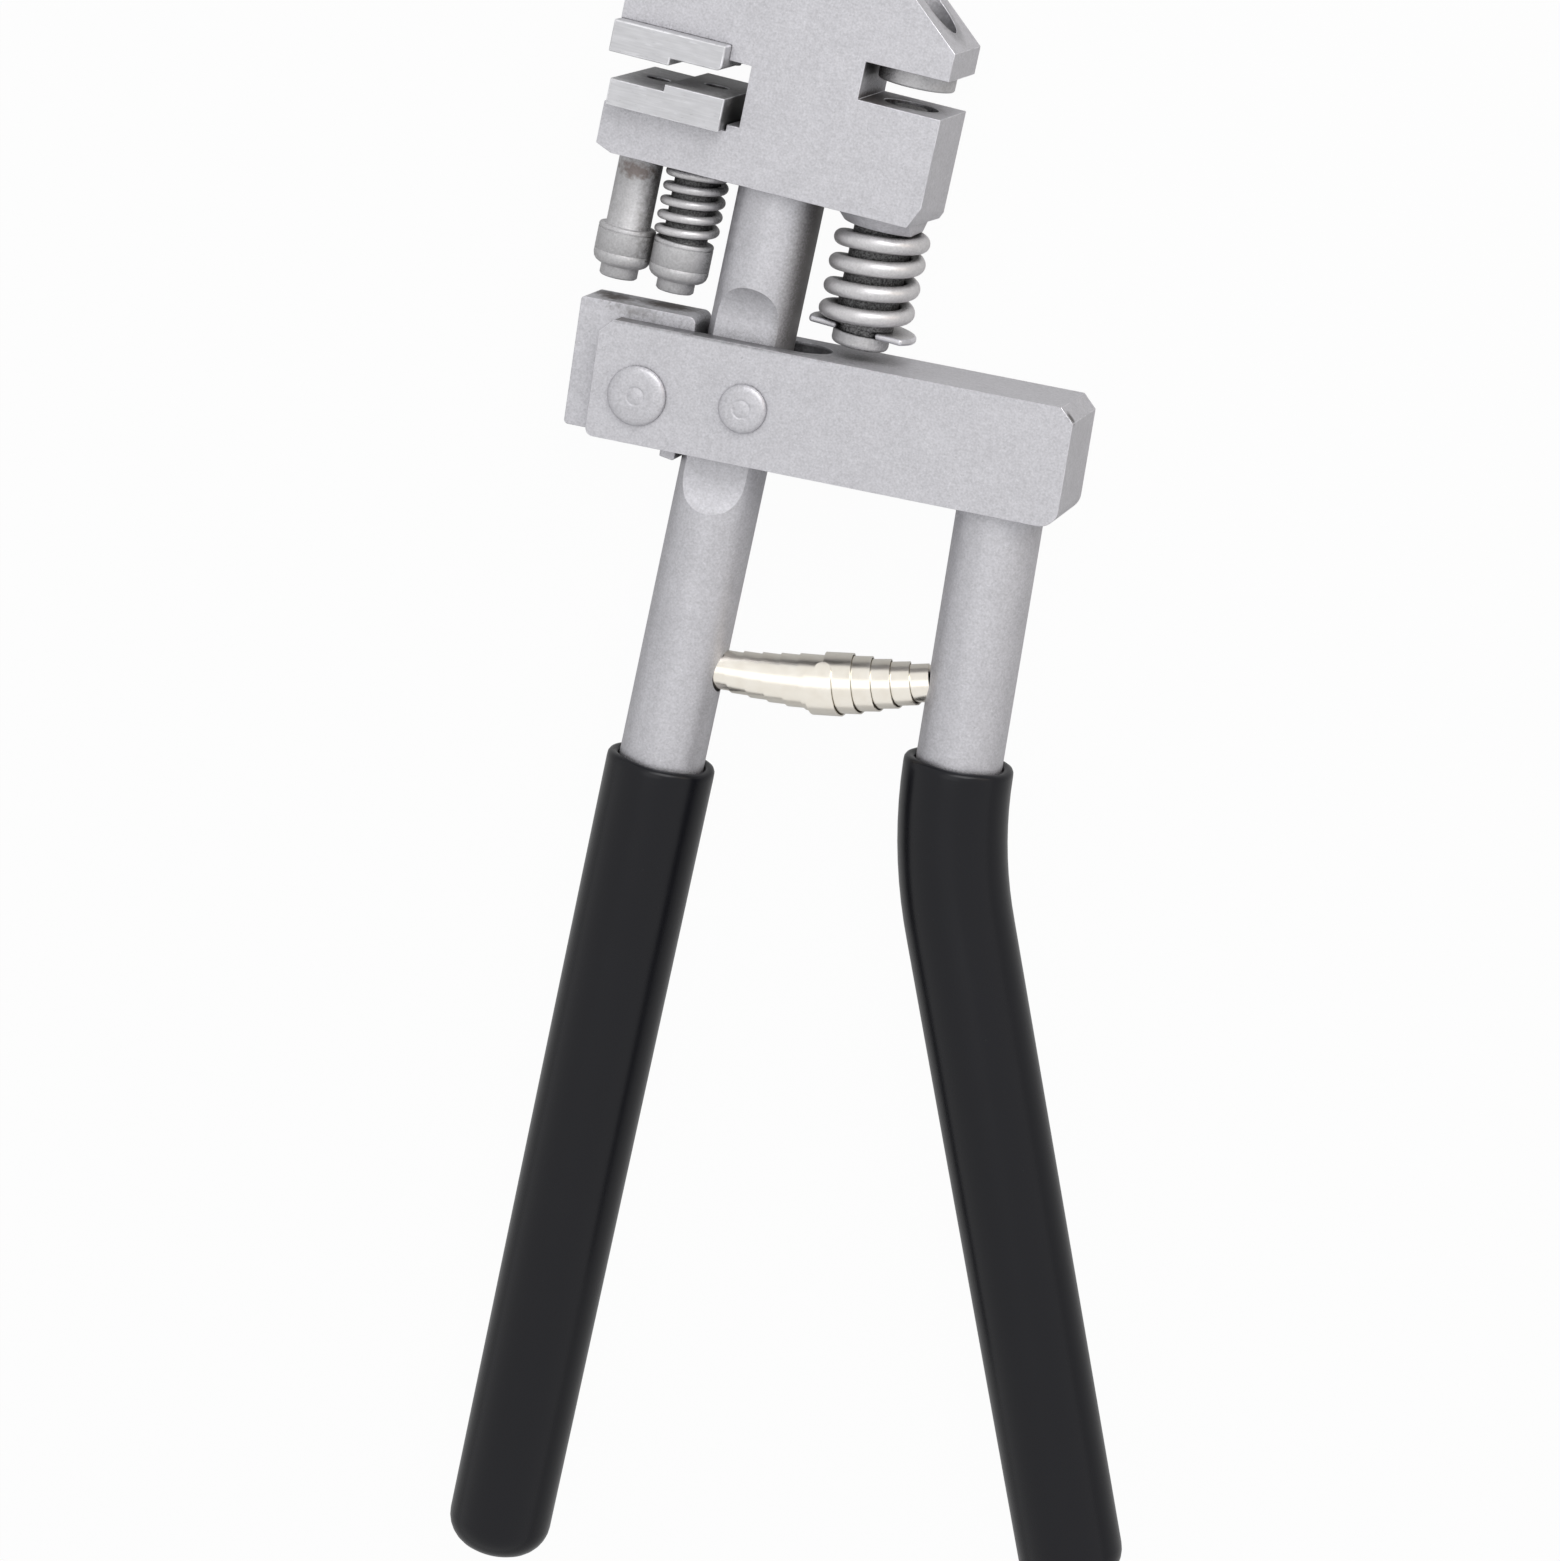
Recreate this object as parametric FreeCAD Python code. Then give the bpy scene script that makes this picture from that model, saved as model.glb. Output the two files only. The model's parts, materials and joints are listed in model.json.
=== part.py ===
# Hand-operated joggling and hole-punching plier for sheet metal, lying on its back.
#
# A steel head carries two tools: a pair of stepped joggling dies on its left and a
# punch with its die button on its right. The head turns on the end of the main rod,
# so that either tool can be brought over the pusher. A lever pivots on the main rod,
# and squeezing the two handles lifts the pusher against the tool above it.
#
# Millimetres. The model is laid out with X across the handles, Y along the main rod
# towards the head and Z towards the viewer. The main rod's axis is X = 0, Z = 0 and the
# lever's pivot is at Y = 0. The finished part is then moved so that its origin is
# the middle of the bottom of its bounding box.

import FreeCAD, Part
import math
import os

from FreeCAD import Vector

# Bar stock and rods
rod_radius = 8.0
flat_half = 5.45                # half of the thickness left between the rod's two flats
flat_length = 29.0              # straight part of each flat, along the rod
flat_cutter_radius = 10.0       # the run-out at both ends of a flat
spigot_radius = 5.0             # turned end of the main rod, which the head turns on
running_clearance = 0.05        # radial, on every turning or sliding fit
rod_end_chamfer = 1.0
seat_gap = 0.1                  # between a spring's wire and the face that it bears on
past = 1.0                      # cutting shapes run past the faces by this much

# Head block
head_half_thick = 10.0
head_left = -33.3
head_right = 27.8
head_bottom = 39.1
head_height = 44.0
head_low_left_run = 3.0
head_low_left_rise = 1.2
head_low_right_run = 1.9        # worn corner, measured on the front face
head_low_right_rise = 4.0
head_low_right_back = 0.33      # the same corner on the back face, as a share of the front's
head_corner_round = 1.5
top_chamfer_rise = 12.0
top_chamfer_run = 14.0

# Joggling throat and dies
joggle_throat_end = -7.9        # inner wall of the left throat
joggle_floor = 8.9              # height of the lower die's seat above the head's bottom
joggle_ledge = 1.2              # step up beside the lower die
joggle_ceiling = 21.3
die_overhang = 4.0              # both dies stand out of the head by this much, front and back
upper_die_right = -12.2
upper_die_top = 24.1
upper_die_low = 18.3
lower_die_left = -31.9
lower_die_right = -10.5
lower_die_thick = 4.8
lower_die_gap = 0.3             # between the lower die and the ledge
upper_die_round = 1.0
die_step = 1.25                 # the offset that the dies press into a sheet
die_step_x = -21.8
die_screw_radius = 2.5
die_screw_head_radius = 3.6
die_screw_head_height = 1.9
die_screw_length = 12.0
die_screw_head_gap = 0.1        # radial, in its counterbore
die_screw_room = 1.0            # free hole above the screw's end
die_screw_socket = 3.0          # across its flats
die_screw_socket_depth = 1.1

# Push rods of the lower die
push_rod_outer_x = -27.0
push_rod_inner_x = -16.0
push_rod_radius = 4.1
push_stud_radius = 2.2
push_stud_recess = 3.0          # the stud ends this far under the die's top
collar_top = 14.3               # below the head's bottom
collar_length = 6.8
collar_round = 1.6
collar_radius_outer = 5.3
collar_radius_inner = 5.5
nub_radius = 3.5
nub_length = 2.15

# Punch
punch_x = 19.9
punch_throat_end = 12.3
punch_floor = 20.1              # above the head's bottom
punch_ceiling = 26.9
button_radius = 7.0
button_proud = 2.5
button_depth = 6.0
button_bore = 3.3
button_lip = 1.5                # the button's neck is this much narrower than its head
button_taper = 0.6
slug_radius = 5.0
stem_radius = 5.5
stem_shoulder = 6.0             # the thick stem ends this high in the head
stem_room = 7.5                 # space above that shoulder, which the punch rises into
tip_radius = 3.0
tip_cone = 1.0
tip_recess = 0.3                # below the throat's floor at rest
stem_end = 24.5                 # below the head's bottom
stem_end_radius = 5.25
stem_end_round = 0.9
clip_radius = 9.9
clip_thick = 1.2
clip_drop = 20.6                # top of the clip below the head's bottom
clip_groove_radius = 4.4
clip_mouth = 3.8                # half of the opening between the clip's two arms
clip_front = 4.2                # the arms end this far in front of the punch's axis
clip_turn = -6.0                # degrees by which the opening is turned to the left
bush_top_radius = 9.7
bush_low_radius = 7.6
bush_cone = 2.2

# Springs
joggle_wire = 1.6
joggle_spring_outer = 11.9
joggle_turns = 4.75
punch_wire = 3.0
punch_spring_outer = 17.4
punch_turns = 3.75
wire_sides = 6                  # the round wire of a coil spring is cut to this many flats
end_pitch = 1.1                 # rise per turn at both ends of a coil spring
end_ease = 0.5                  # turns over which the pitch grows
volute_thick = 0.5
volute_width = 3.45
volute_end_radius = 3.4
volute_mid_radius = 5.9
volute_turns = 10
volute_main_y = -52.8           # where the volute spring's axis meets the main rod's axis
volute_lever_drop = 43.3        # where it meets the lever rod's axis, below the pivot
volute_seat = 6.2               # spring end from each rod's axis
volute_pocket_radius = 3.7

# Lever
pivot_x = 3.6
lever_tilt = 3.5
lever_swing = 20.0
lever_left = 28.8
lever_right = 60.2
lever_top = 11.4
lever_low = 10.5
lever_half_thick = 10.0
slot_half = 5.6
slot_end = 12.4
lever_top_left_chamfer = 2.5
lever_low_left_round = 1.5
lever_top_right_chamfer = 2.5
lever_low_right_round = 3.5
lever_rod_x = 47.9
lever_rod_depth = 12.0
bend_drop = 74.4                # from the pivot down to the bend's corner
bend_angle = 19.4
bend_radius = 90.0

# Pusher and rivets
pusher_half_thick = 5.45
pusher_rivet_x = -19.94
pusher_rivet_y = -1.45
pusher_left = 14.4
pusher_right_top = 7.7
pusher_right_low = 7.0
pusher_top = 15.3
pusher_low = 8.6
pusher_round = 1.5
pusher_edge_round = 0.8
foot_round = 0.5
foot_length = 2.0
foot_width = 3.2
pusher_pin_radius = 3.5
pusher_head_radius = 5.5
pivot_pin_radius = 3.0
pivot_head_radius = 4.5
rivet_head_height = 1.5
rivet_head_round = 1.0
rivet_crown = 0.25              # rise of the head's middle above its rounded edge

# Grips
grip_radius = 10.15
grip_main_rim = -70.0
grip_length = 163.0
grip_cover = 3.0                # closed end beyond the rod's end
grip_end_round = 6.0
grip_rim_round = 0.6
lever_grip_lead = 4.0           # straight part of the lever rod inside its grip, above the bend

# Head fastening
washer_radius = 9.0
washer_thick = 1.6
nut_across = 16.0
nut_height = 5.0
nut_chamfer_run = 1.6
nut_chamfer_rise = 1.0
thread_out = 1.2

# Derived places
head_top = head_bottom + head_height
lever_grip_drop = bend_drop - bend_radius * math.tan(math.radians(bend_angle / 2)) - lever_grip_lead
joggle_seat = head_bottom + joggle_floor
lower_die_top = joggle_seat + lower_die_thick
upper_die_bottom = head_bottom + upper_die_low
die_half_width = head_half_thick + die_overhang
throat_floor = head_bottom + punch_floor
throat_ceiling = head_bottom + punch_ceiling
nub_end = head_bottom - collar_top - collar_length - nub_length
punch_end = head_bottom - stem_end
AXIS_X = Vector(1, 0, 0)
AXIS_Y = Vector(0, 1, 0)
AXIS_Z = Vector(0, 0, 1)


# Shared shapes

def outline(corners):
    """Closed wire in the XY plane through (x, y, radius) corners, each rounded by its radius."""
    edges = []
    ends = []
    count = len(corners)
    for i in range(count):
        x, y, radius = corners[i]
        here = Vector(x, y, 0)
        before = Vector(*corners[i - 1][:2], 0)
        after = Vector(*corners[(i + 1) % count][:2], 0)
        if radius == 0:
            ends.append((here, here, None))
            continue
        back = (before - here).normalize()
        ahead = (after - here).normalize()
        half = back.getAngle(ahead) / 2
        trim = radius / math.tan(half)
        middle = here + (back + ahead).normalize() * (radius / math.sin(half) - radius)
        ends.append((here + back * trim, here + ahead * trim, middle))
    for i in range(count):
        start, finish, middle = ends[i]
        if middle is not None:
            edges.append(Part.Arc(start, middle, finish).toShape())
        following = ends[(i + 1) % count][0]
        if finish.distanceToPoint(following) > 1e-6:
            edges.append(Part.LineSegment(finish, following).toShape())
    return Part.Wire(edges)


def plate(corners, half_thick):
    """Flat plate of the given outline, centred on the XY plane."""
    face = Part.Face(outline(corners))
    face.translate(Vector(0, 0, -half_thick))
    return face.extrude(Vector(0, 0, 2 * half_thick))


def turned(points, x=0.0):
    """Solid of revolution about the line parallel to Y at x, from (radius, y) points."""
    corners = [Vector(x + radius, y, 0) for radius, y in points]
    face = Part.Face(Part.makePolygon(corners + corners[:1]))
    return face.revolve(Vector(x, 0, 0), AXIS_Y, 360)


def round_foot(radius, low, rounding, steps):
    """Rounded lower edge of a turned piece, as (radius, y) points of its profile."""
    turns = [math.pi / 2 * i / steps for i in range(steps + 1)]
    return [(radius - rounding * (1 - math.sin(a)), low + rounding * (1 - math.cos(a))) for a in turns]


def bar(start, direction, radius, length):
    return Part.makeCylinder(radius, length, start, direction)


def upright(x, low, high, radius):
    """Round bar along Y between two heights."""
    return bar(Vector(x, low, 0), AXIS_Y, radius, high - low)


def box(low, high):
    return Part.makeBox(high[0] - low[0], high[1] - low[1], high[2] - low[2], Vector(*low))


def whole(shape):
    """The one solid of a boolean's result."""
    clean = shape.removeSplitter()
    return clean.Solids[0] if len(clean.Solids) == 1 else clean


# Coils

def arc_edge(start, tangent, finish):
    """Circular arc that leaves start along tangent and ends at finish."""
    chord = finish - start
    across = chord - tangent * chord.dot(tangent)
    if across.Length < 1e-7:
        return Part.LineSegment(start, finish).toShape()
    radius = chord.dot(chord) / (2 * across.Length)
    centre = start + across.normalize() * radius
    middle = centre + ((start - centre) + (finish - centre)).normalize() * radius
    return Part.Arc(start, middle, finish).toShape()


def biarc(start, tangent_start, finish, tangent_finish):
    """Two tangent arcs between two points with given directions."""
    chord = finish - start
    total = tangent_start + tangent_finish
    spread = 2 * (1 - tangent_start.dot(tangent_finish))
    along = chord.dot(total)
    reach = (math.sqrt(along ** 2 + spread * chord.dot(chord)) - along) / spread
    joint = (start + tangent_start * reach + finish - tangent_finish * reach) * 0.5
    mirrored = arc_edge(finish, tangent_finish * -1, joint)
    return [arc_edge(start, tangent_start, joint), mirrored]


def winding_wire(place, turns, steps_per_turn=2):
    """Wire of biarcs through a winding, place(t) giving the point at t turns."""
    small = 1e-4
    count = int(round(turns * steps_per_turn))
    edges = []
    stations = []
    for i in range(count + 1):
        t = turns * i / count
        ahead = place(min(t + small, turns))
        behind = place(max(t - small, 0))
        stations.append((place(t), (ahead - behind).normalize()))
    for (start, leave), (finish, arrive) in zip(stations, stations[1:]):
        edges += biarc(start, leave, finish, arrive)
    return Part.Wire(Part.__sortEdges__(edges))


def least_gap(place, turns, reach):
    """Smallest distance between neighbouring turns' centre lines, less the wire's own size."""
    step = 0.02
    count = int(turns / step)
    points = [place(i * step) for i in range(count + 1)]
    apart = int(0.5 / step)
    least = min(points[i].distanceToPoint(points[j])
                for i in range(0, count + 1, 2)
                for j in range(i + apart, min(i + 3 * apart, count + 1)))
    return least - reach


def coil_spring(name, x, top, bottom, wire, outer, turns, start_turn):
    """Round-wire compression spring between two flat seats, its wire a gap off each seat."""
    mean = (outer - wire) / 2
    low = bottom + wire / 2 + seat_gap
    height = top - wire / 2 - seat_gap - low
    middle_pitch = (height - end_pitch * end_ease) / (turns - end_ease)

    def slow(t):
        t = max(0.0, min(t, end_ease))
        return (t + end_ease / math.pi * math.sin(math.pi * t / end_ease)) / 2

    def rise(t):
        eased = slow(t) + slow(end_ease) - slow(turns - t)
        return middle_pitch * t - (middle_pitch - end_pitch) * eased

    def place(t):
        angle = 2 * math.pi * (t + start_turn)
        return Vector(x + mean * math.sin(angle), low + rise(t), mean * math.cos(angle))

    path = winding_wire(place, turns)
    start = place(0)
    ahead = (place(1e-4) - start).normalize()
    out = Vector(math.sin(2 * math.pi * start_turn), 0, math.cos(2 * math.pi * start_turn))
    across = ahead.cross(out).normalize()
    out = across.cross(ahead)
    corners = []
    for i in range(wire_sides):
        angle = 2 * math.pi * (i + 0.5) / wire_sides
        corners.append(start + (out * math.cos(angle) + across * math.sin(angle)) * (wire / 2))
    section = Part.makePolygon(corners + corners[:1])
    tube = path.makePipeShell([section], True, False)
    print(name, "least gap", round(least_gap(place, turns, wire), 2))
    return tube


# Head

def make_head():
    right = head_right
    corner_x = right - top_chamfer_run
    corners = [
        (head_left + head_low_left_run, head_bottom, 0),
        (right, head_bottom, 0),
        (right, throat_floor, 0),
        (punch_throat_end, throat_floor, 0),
        (punch_throat_end, throat_ceiling, 0),
        (right, throat_ceiling, 0),
        (right, head_top - top_chamfer_rise, 0),
        (corner_x, head_top, 0),
        (head_left, head_top, head_corner_round),
        (head_left, head_bottom + upper_die_top, 0),
        (upper_die_right, head_bottom + upper_die_top, 0),
        (upper_die_right, head_bottom + joggle_ceiling, 0),
        (joggle_throat_end, head_bottom + joggle_ceiling, 0),
        (joggle_throat_end, joggle_seat + joggle_ledge, 0),
        (lower_die_right + lower_die_gap, joggle_seat + joggle_ledge, 0),
        (lower_die_right + lower_die_gap, joggle_seat, 0),
        (head_left, joggle_seat, 0),
        (head_left, head_bottom + head_low_left_rise, 0),
    ]
    block = plate(corners, head_half_thick)
    below = head_bottom - past
    die_seat = head_bottom + upper_die_top - past
    screw_end = upper_die_bottom + die_step + die_screw_length + die_screw_room
    cuts = [upright(0, below, head_top + past, spigot_radius + running_clearance)]
    for x in (push_rod_outer_x, push_rod_inner_x):
        cuts.append(upright(x, below, joggle_seat + past, push_rod_radius + running_clearance))
        cuts.append(upright(x, die_seat, screw_end, die_screw_radius))
    cuts.append(upright(punch_x, below, head_bottom + stem_shoulder + stem_room,
                        stem_radius + running_clearance))
    cuts.append(upright(punch_x, below, throat_floor + past, tip_radius + running_clearance))
    cuts.append(upright(punch_x, throat_ceiling - past, throat_ceiling + button_depth,
                        button_radius - button_lip))
    cuts.append(upright(punch_x, throat_ceiling, head_top + past, slug_radius))
    cuts.append(low_right_wedge())
    return whole(block.cut(cuts))


def low_right_wedge():
    """Cutter for the head's low right corner, which is cut back more in front than behind."""
    reach = head_half_thick + past
    slope = Vector(head_low_right_run, head_low_right_rise, 0).normalize()
    ends = []
    for z in (-reach, reach):
        share = 1 - (1 - head_low_right_back) * (head_half_thick - z) / (2 * head_half_thick)
        low = Vector(head_right - head_low_right_run * share, head_bottom, z) - slope * past
        high = Vector(head_right, head_bottom + head_low_right_rise * share, z) + slope * past
        ends.append(Part.makePolygon([low, high, Vector(high.x, low.y, z), low]))
    return Part.makeLoft(ends, True, True)


def make_upper_die():
    top = head_bottom + upper_die_top
    corners = [
        (head_left, upper_die_bottom, 0),
        (die_step_x, upper_die_bottom, 0),
        (die_step_x, upper_die_bottom + die_step, 0),
        (upper_die_right, upper_die_bottom + die_step, upper_die_round),
        (upper_die_right, top, 0),
        (head_left, top, 0),
    ]
    die = plate(corners, die_half_width)
    cuts = []
    for x in (push_rod_outer_x, push_rod_inner_x):
        low = upper_die_bottom - past
        seat = upper_die_bottom + die_step + die_screw_head_height
        cuts.append(upright(x, low, seat, die_screw_head_radius))
        cuts.append(upright(x, low, top + past, die_screw_radius))
    return whole(die.cut(cuts))


def make_die_screw(x):
    """Cap screw that holds the upper die from below, sunk in its counterbore."""
    low = upper_die_bottom + die_step
    seat = low + die_screw_head_height
    head = upright(x, low, seat, die_screw_head_radius - die_screw_head_gap)
    shank = upright(x, seat, low + die_screw_length, die_screw_radius)
    socket = hexagon(x, low - past, die_screw_socket, die_screw_socket_depth + past)
    return whole(head.fuse(shank).cut(socket))


def hexagon(x, y, across, height):
    """Hexagonal prism along Y."""
    radius = across / math.sqrt(3)
    corners = [Vector(x + radius * math.cos(math.pi * i / 3), y, radius * math.sin(math.pi * i / 3))
               for i in range(6)]
    return Part.Face(Part.makePolygon(corners + corners[:1])).extrude(Vector(0, height, 0))


def make_lower_die():
    corners = [
        (lower_die_left, joggle_seat, 0),
        (lower_die_right, joggle_seat, 0),
        (lower_die_right, lower_die_top + die_step, 0),
        (die_step_x, lower_die_top + die_step, 0),
        (die_step_x, lower_die_top, 0),
        (lower_die_left, lower_die_top, 0),
    ]
    die = plate(corners, die_half_width)
    top = lower_die_top + die_step + past
    studs = [upright(x, joggle_seat - past, top, push_stud_radius)
             for x in (push_rod_outer_x, push_rod_inner_x)]
    return whole(die.cut(studs))


def make_push_rod(x, collar_radius):
    """Stud in the lower die, rod through the head, collar for the spring and a nub."""
    top = head_bottom - collar_top
    low = top - collar_length
    die_surface = lower_die_top if x < die_step_x else lower_die_top + die_step
    stud_top = die_surface - push_stud_recess
    foot = round_foot(collar_radius, low, collar_round, 3)
    collar = turned([(0, low)] + foot + [(collar_radius, top), (0, top)], x)
    pieces = [
        upright(x, top, joggle_seat, push_rod_radius),
        upright(x, joggle_seat, stud_top, push_stud_radius),
        upright(x, low - nub_length, low, nub_radius),
    ]
    return whole(collar.fuse(pieces))


# Punch

def make_die_button():
    low = throat_ceiling - button_proud
    neck = button_radius - button_lip
    top = throat_ceiling + button_depth
    points = [(button_bore, low), (button_radius, low), (button_radius, throat_ceiling),
              (neck, throat_ceiling), (neck, top), (button_bore + button_taper, top)]
    return turned(points, punch_x)


def make_guide_bush():
    """Tapered boss under the head that guides the punch and seats its spring."""
    bore = stem_radius + running_clearance
    low = head_bottom - bush_cone
    points = [(bore, head_bottom), (bush_top_radius, head_bottom), (bush_low_radius, low), (bore, low)]
    side = head_right - head_low_right_run
    beyond = punch_x + bush_top_radius + past
    beside = box((side, low - past, -bush_top_radius), (beyond, head_bottom + past, bush_top_radius))
    return whole(turned(points, punch_x).cut(beside))


def make_punch():
    shoulder = head_bottom + stem_shoulder
    tip = throat_floor - tip_recess
    groove_top = head_bottom - clip_drop
    groove_low = groove_top - clip_thick
    points = [(0, punch_end)] + round_foot(stem_end_radius, punch_end, stem_end_round, 3)
    points += [(stem_end_radius, groove_low), (clip_groove_radius, groove_low),
               (clip_groove_radius, groove_top), (stem_radius, groove_top), (stem_radius, shoulder),
               (tip_radius, shoulder + tip_cone), (tip_radius, tip), (0, tip)]
    return turned(points, punch_x)


def make_spring_clip():
    """Flat retaining clip in the punch's groove, pushed in from the front, which carries the spring.

    Its node keeps the name punch_cross_pin.
    """
    high = head_bottom - clip_drop
    low = high - clip_thick
    disc = upright(punch_x, low, high, clip_radius)
    groove = upright(punch_x, low - past, high + past, clip_groove_radius)
    front = box((punch_x - clip_radius, low - past, clip_front),
                (punch_x + clip_radius, high + past, clip_radius + past))
    mouth = box((punch_x - clip_mouth, low - past, 0),
                (punch_x + clip_mouth, high + past, clip_front + past))
    clip = whole(disc.cut([groove, front, mouth]))
    clip.rotate(Vector(punch_x, low, 0), AXIS_Y, clip_turn)
    return clip


# Main handle

def flat_cutters(half_flat):
    """Milled flats on both sides of a rod, with a cutter's radius at both ends."""
    half = flat_length / 2
    reach = rod_radius + past
    cutters = []
    for side in (1, -1):
        near = side * half_flat
        far = side * reach
        low, high = min(near, far), max(near, far)
        cutters.append(box((-reach, -half, low), (reach, half, high)))
        for end in (-half, half):
            centre = Vector(-reach, end, side * (half_flat + flat_cutter_radius))
            cutters.append(bar(centre, AXIS_X, flat_cutter_radius, 2 * reach))
    return cutters


def volute_ends():
    """Points where the volute spring's axis meets the two rods' axes."""
    main = Vector(0, volute_main_y, 0)
    lever = lever_place(lever_rod_x, -volute_lever_drop)
    return main, lever


def volute_pocket(at_main):
    main, lever = volute_ends()
    direction = (lever - main).normalize()
    if at_main:
        return bar(main + direction * volute_seat, direction, volute_pocket_radius, rod_radius)
    return bar(lever - direction * volute_seat, direction * -1, volute_pocket_radius, rod_radius)


def make_main_rod():
    low = grip_main_rim - grip_length + grip_cover
    top = head_top + washer_thick + nut_height + thread_out
    chamfer = rod_end_chamfer
    points = [(0, low), (rod_radius - chamfer, low), (rod_radius, low + chamfer),
              (rod_radius, head_bottom), (spigot_radius, head_bottom), (spigot_radius, top - chamfer),
              (spigot_radius - chamfer, top), (0, top)]
    rod = turned(points)
    pin = rivet_bar(pivot_x, 0, pivot_pin_radius + running_clearance, rod_radius + past)
    return whole(rod.cut(flat_cutters(flat_half) + [pin, volute_pocket(True)]))


def make_washer():
    top = head_top + washer_thick
    return upright(0, head_top, top, washer_radius).cut(upright(0, head_top, top, spigot_radius))


def make_nut():
    low = head_top + washer_thick
    top = low + nut_height
    corner = nut_across / math.sqrt(3)
    crown = turned([(0, low), (corner, low), (corner, top - nut_chamfer_rise),
                    (corner - nut_chamfer_run, top), (0, top)])
    nut = hexagon(0, low, nut_across, nut_height).common(crown)
    return whole(nut.cut(upright(0, low, top, spigot_radius)))


def make_main_grip():
    low = grip_main_rim - grip_length
    rod_end = low + grip_cover
    bore = rod_radius + running_clearance
    rim = grip_main_rim
    points = [(0, low)] + round_foot(grip_radius, low, grip_end_round, 5)
    points += [(grip_radius, rim - grip_rim_round), (grip_radius - grip_rim_round, rim),
               (bore, rim), (bore, rod_end), (0, rod_end)]
    return turned(points)


# Lever

def lever_matrix():
    """Places a shape that is drawn with the lever's pivot at the origin."""
    return FreeCAD.Placement(Vector(pivot_x, 0, 0), FreeCAD.Rotation(AXIS_Z, lever_tilt))


def lever_place(x, y):
    return lever_matrix().multVec(Vector(x, y, 0))


def on_lever(shape):
    moved = shape.copy()
    moved.Placement = lever_matrix().multiply(moved.Placement)
    return moved


def make_lever_block():
    corners = [
        (-lever_left, -lever_low, lever_low_left_round),
        (lever_right, -lever_low, lever_low_right_round),
        (lever_right, lever_top - lever_top_right_chamfer, 0),
        (lever_right - lever_top_right_chamfer, lever_top, 0),
        (-lever_left + lever_top_left_chamfer, lever_top, 0),
        (-lever_left, lever_top - lever_top_left_chamfer, 0),
    ]
    block = plate(corners, lever_half_thick)
    below = -lever_low - past
    above = lever_top + past
    slot_centre = slot_end - slot_half
    slot = box((-lever_left - past, below, -slot_half), (slot_centre, above, slot_half))
    slot_round = upright(slot_centre, below, above, slot_half)
    rod_hole = upright(lever_rod_x, below, lever_rod_depth - lever_low, rod_radius + running_clearance)
    pivot = rivet_bar(0, 0, pivot_pin_radius, lever_half_thick + past)
    pusher = rivet_bar(pusher_rivet_x, pusher_rivet_y, pusher_pin_radius, lever_half_thick + past)
    return on_lever(whole(block.cut([slot, slot_round, rod_hole, pivot, pusher])))


def rivet_bar(x, y, radius, half_length):
    return bar(Vector(x, y, -half_length), AXIS_Z, radius, 2 * half_length)


def make_rivet(x, y, pin_radius, head_radius):
    """Pin with a low domed head at both ends."""
    base = lever_half_thick
    top = base + rivet_head_height
    shoulder = top - rivet_head_round
    half = [(0, 0), (pin_radius, 0), (pin_radius, base), (head_radius, base), (head_radius, shoulder),
            (head_radius - rivet_head_round, top - rivet_crown), (0, top)]
    corners = [Vector(radius, 0, z) for radius, z in half]
    front = Part.Face(Part.makePolygon(corners + corners[:1])).revolve(Vector(0, 0, 0), AXIS_Z, 360)
    back = front.mirror(Vector(0, 0, 0), AXIS_Z)
    rivet = whole(front.fuse(back))
    rivet.translate(Vector(x, y, 0))
    return on_lever(rivet)


def lever_rod_path(top, total):
    """Line, bend and line along the lever rod, from top down; also its end and its direction there."""
    x = lever_rod_x
    half = math.radians(bend_angle) / 2
    trim = bend_radius * math.tan(half)
    corner = Vector(x, -bend_drop, 0)
    down = Vector(0, -1, 0)
    out = Vector(math.sin(2 * half), -math.cos(2 * half), 0)
    start = Vector(x, top, 0)
    bend_start = corner - down * trim
    bend_end = corner + out * trim
    middle = corner + (out - down).normalize() * (bend_radius / math.cos(half) - bend_radius)
    used = (bend_start - start).Length + bend_radius * 2 * half
    finish = bend_end + out * (total - used)
    edges = [Part.LineSegment(start, bend_start).toShape(),
             Part.Arc(bend_start, middle, bend_end).toShape(),
             Part.LineSegment(bend_end, finish).toShape()]
    return Part.Wire(edges), finish, out


def swept_round(top, total, radius):
    path = lever_rod_path(top, total)[0]
    section = Part.Wire(Part.makeCircle(radius, Vector(lever_rod_x, top, 0), AXIS_Y))
    return path.makePipeShell([section], True, False)


def make_lever_rod():
    top = lever_rod_depth - lever_low
    total = top + lever_grip_drop + grip_length - grip_cover
    rod = swept_round(top, total, rod_radius)
    pocket = volute_pocket(False)
    pocket.Placement = lever_matrix().inverse().multiply(pocket.Placement)
    return on_lever(whole(rod.cut(pocket)))


def make_lever_grip():
    top = -lever_grip_drop
    sleeve = grip_length - grip_end_round
    body = swept_round(top, sleeve, grip_radius)
    finish, out = lever_rod_path(top, sleeve)[1:]
    dome = turned([(0, 0)] + round_foot(grip_radius, 0, grip_end_round, 5) + [(0, grip_end_round)])
    dome.rotate(Vector(0, 0, 0), AXIS_Z, bend_angle)
    dome.translate(finish + out * grip_end_round)
    rod_top = lever_rod_depth - lever_low
    total = rod_top + lever_grip_drop + grip_length - grip_cover
    bore = swept_round(rod_top, total, rod_radius + running_clearance)
    return on_lever(whole(body.fuse(dome).cut(bore)))


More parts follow.
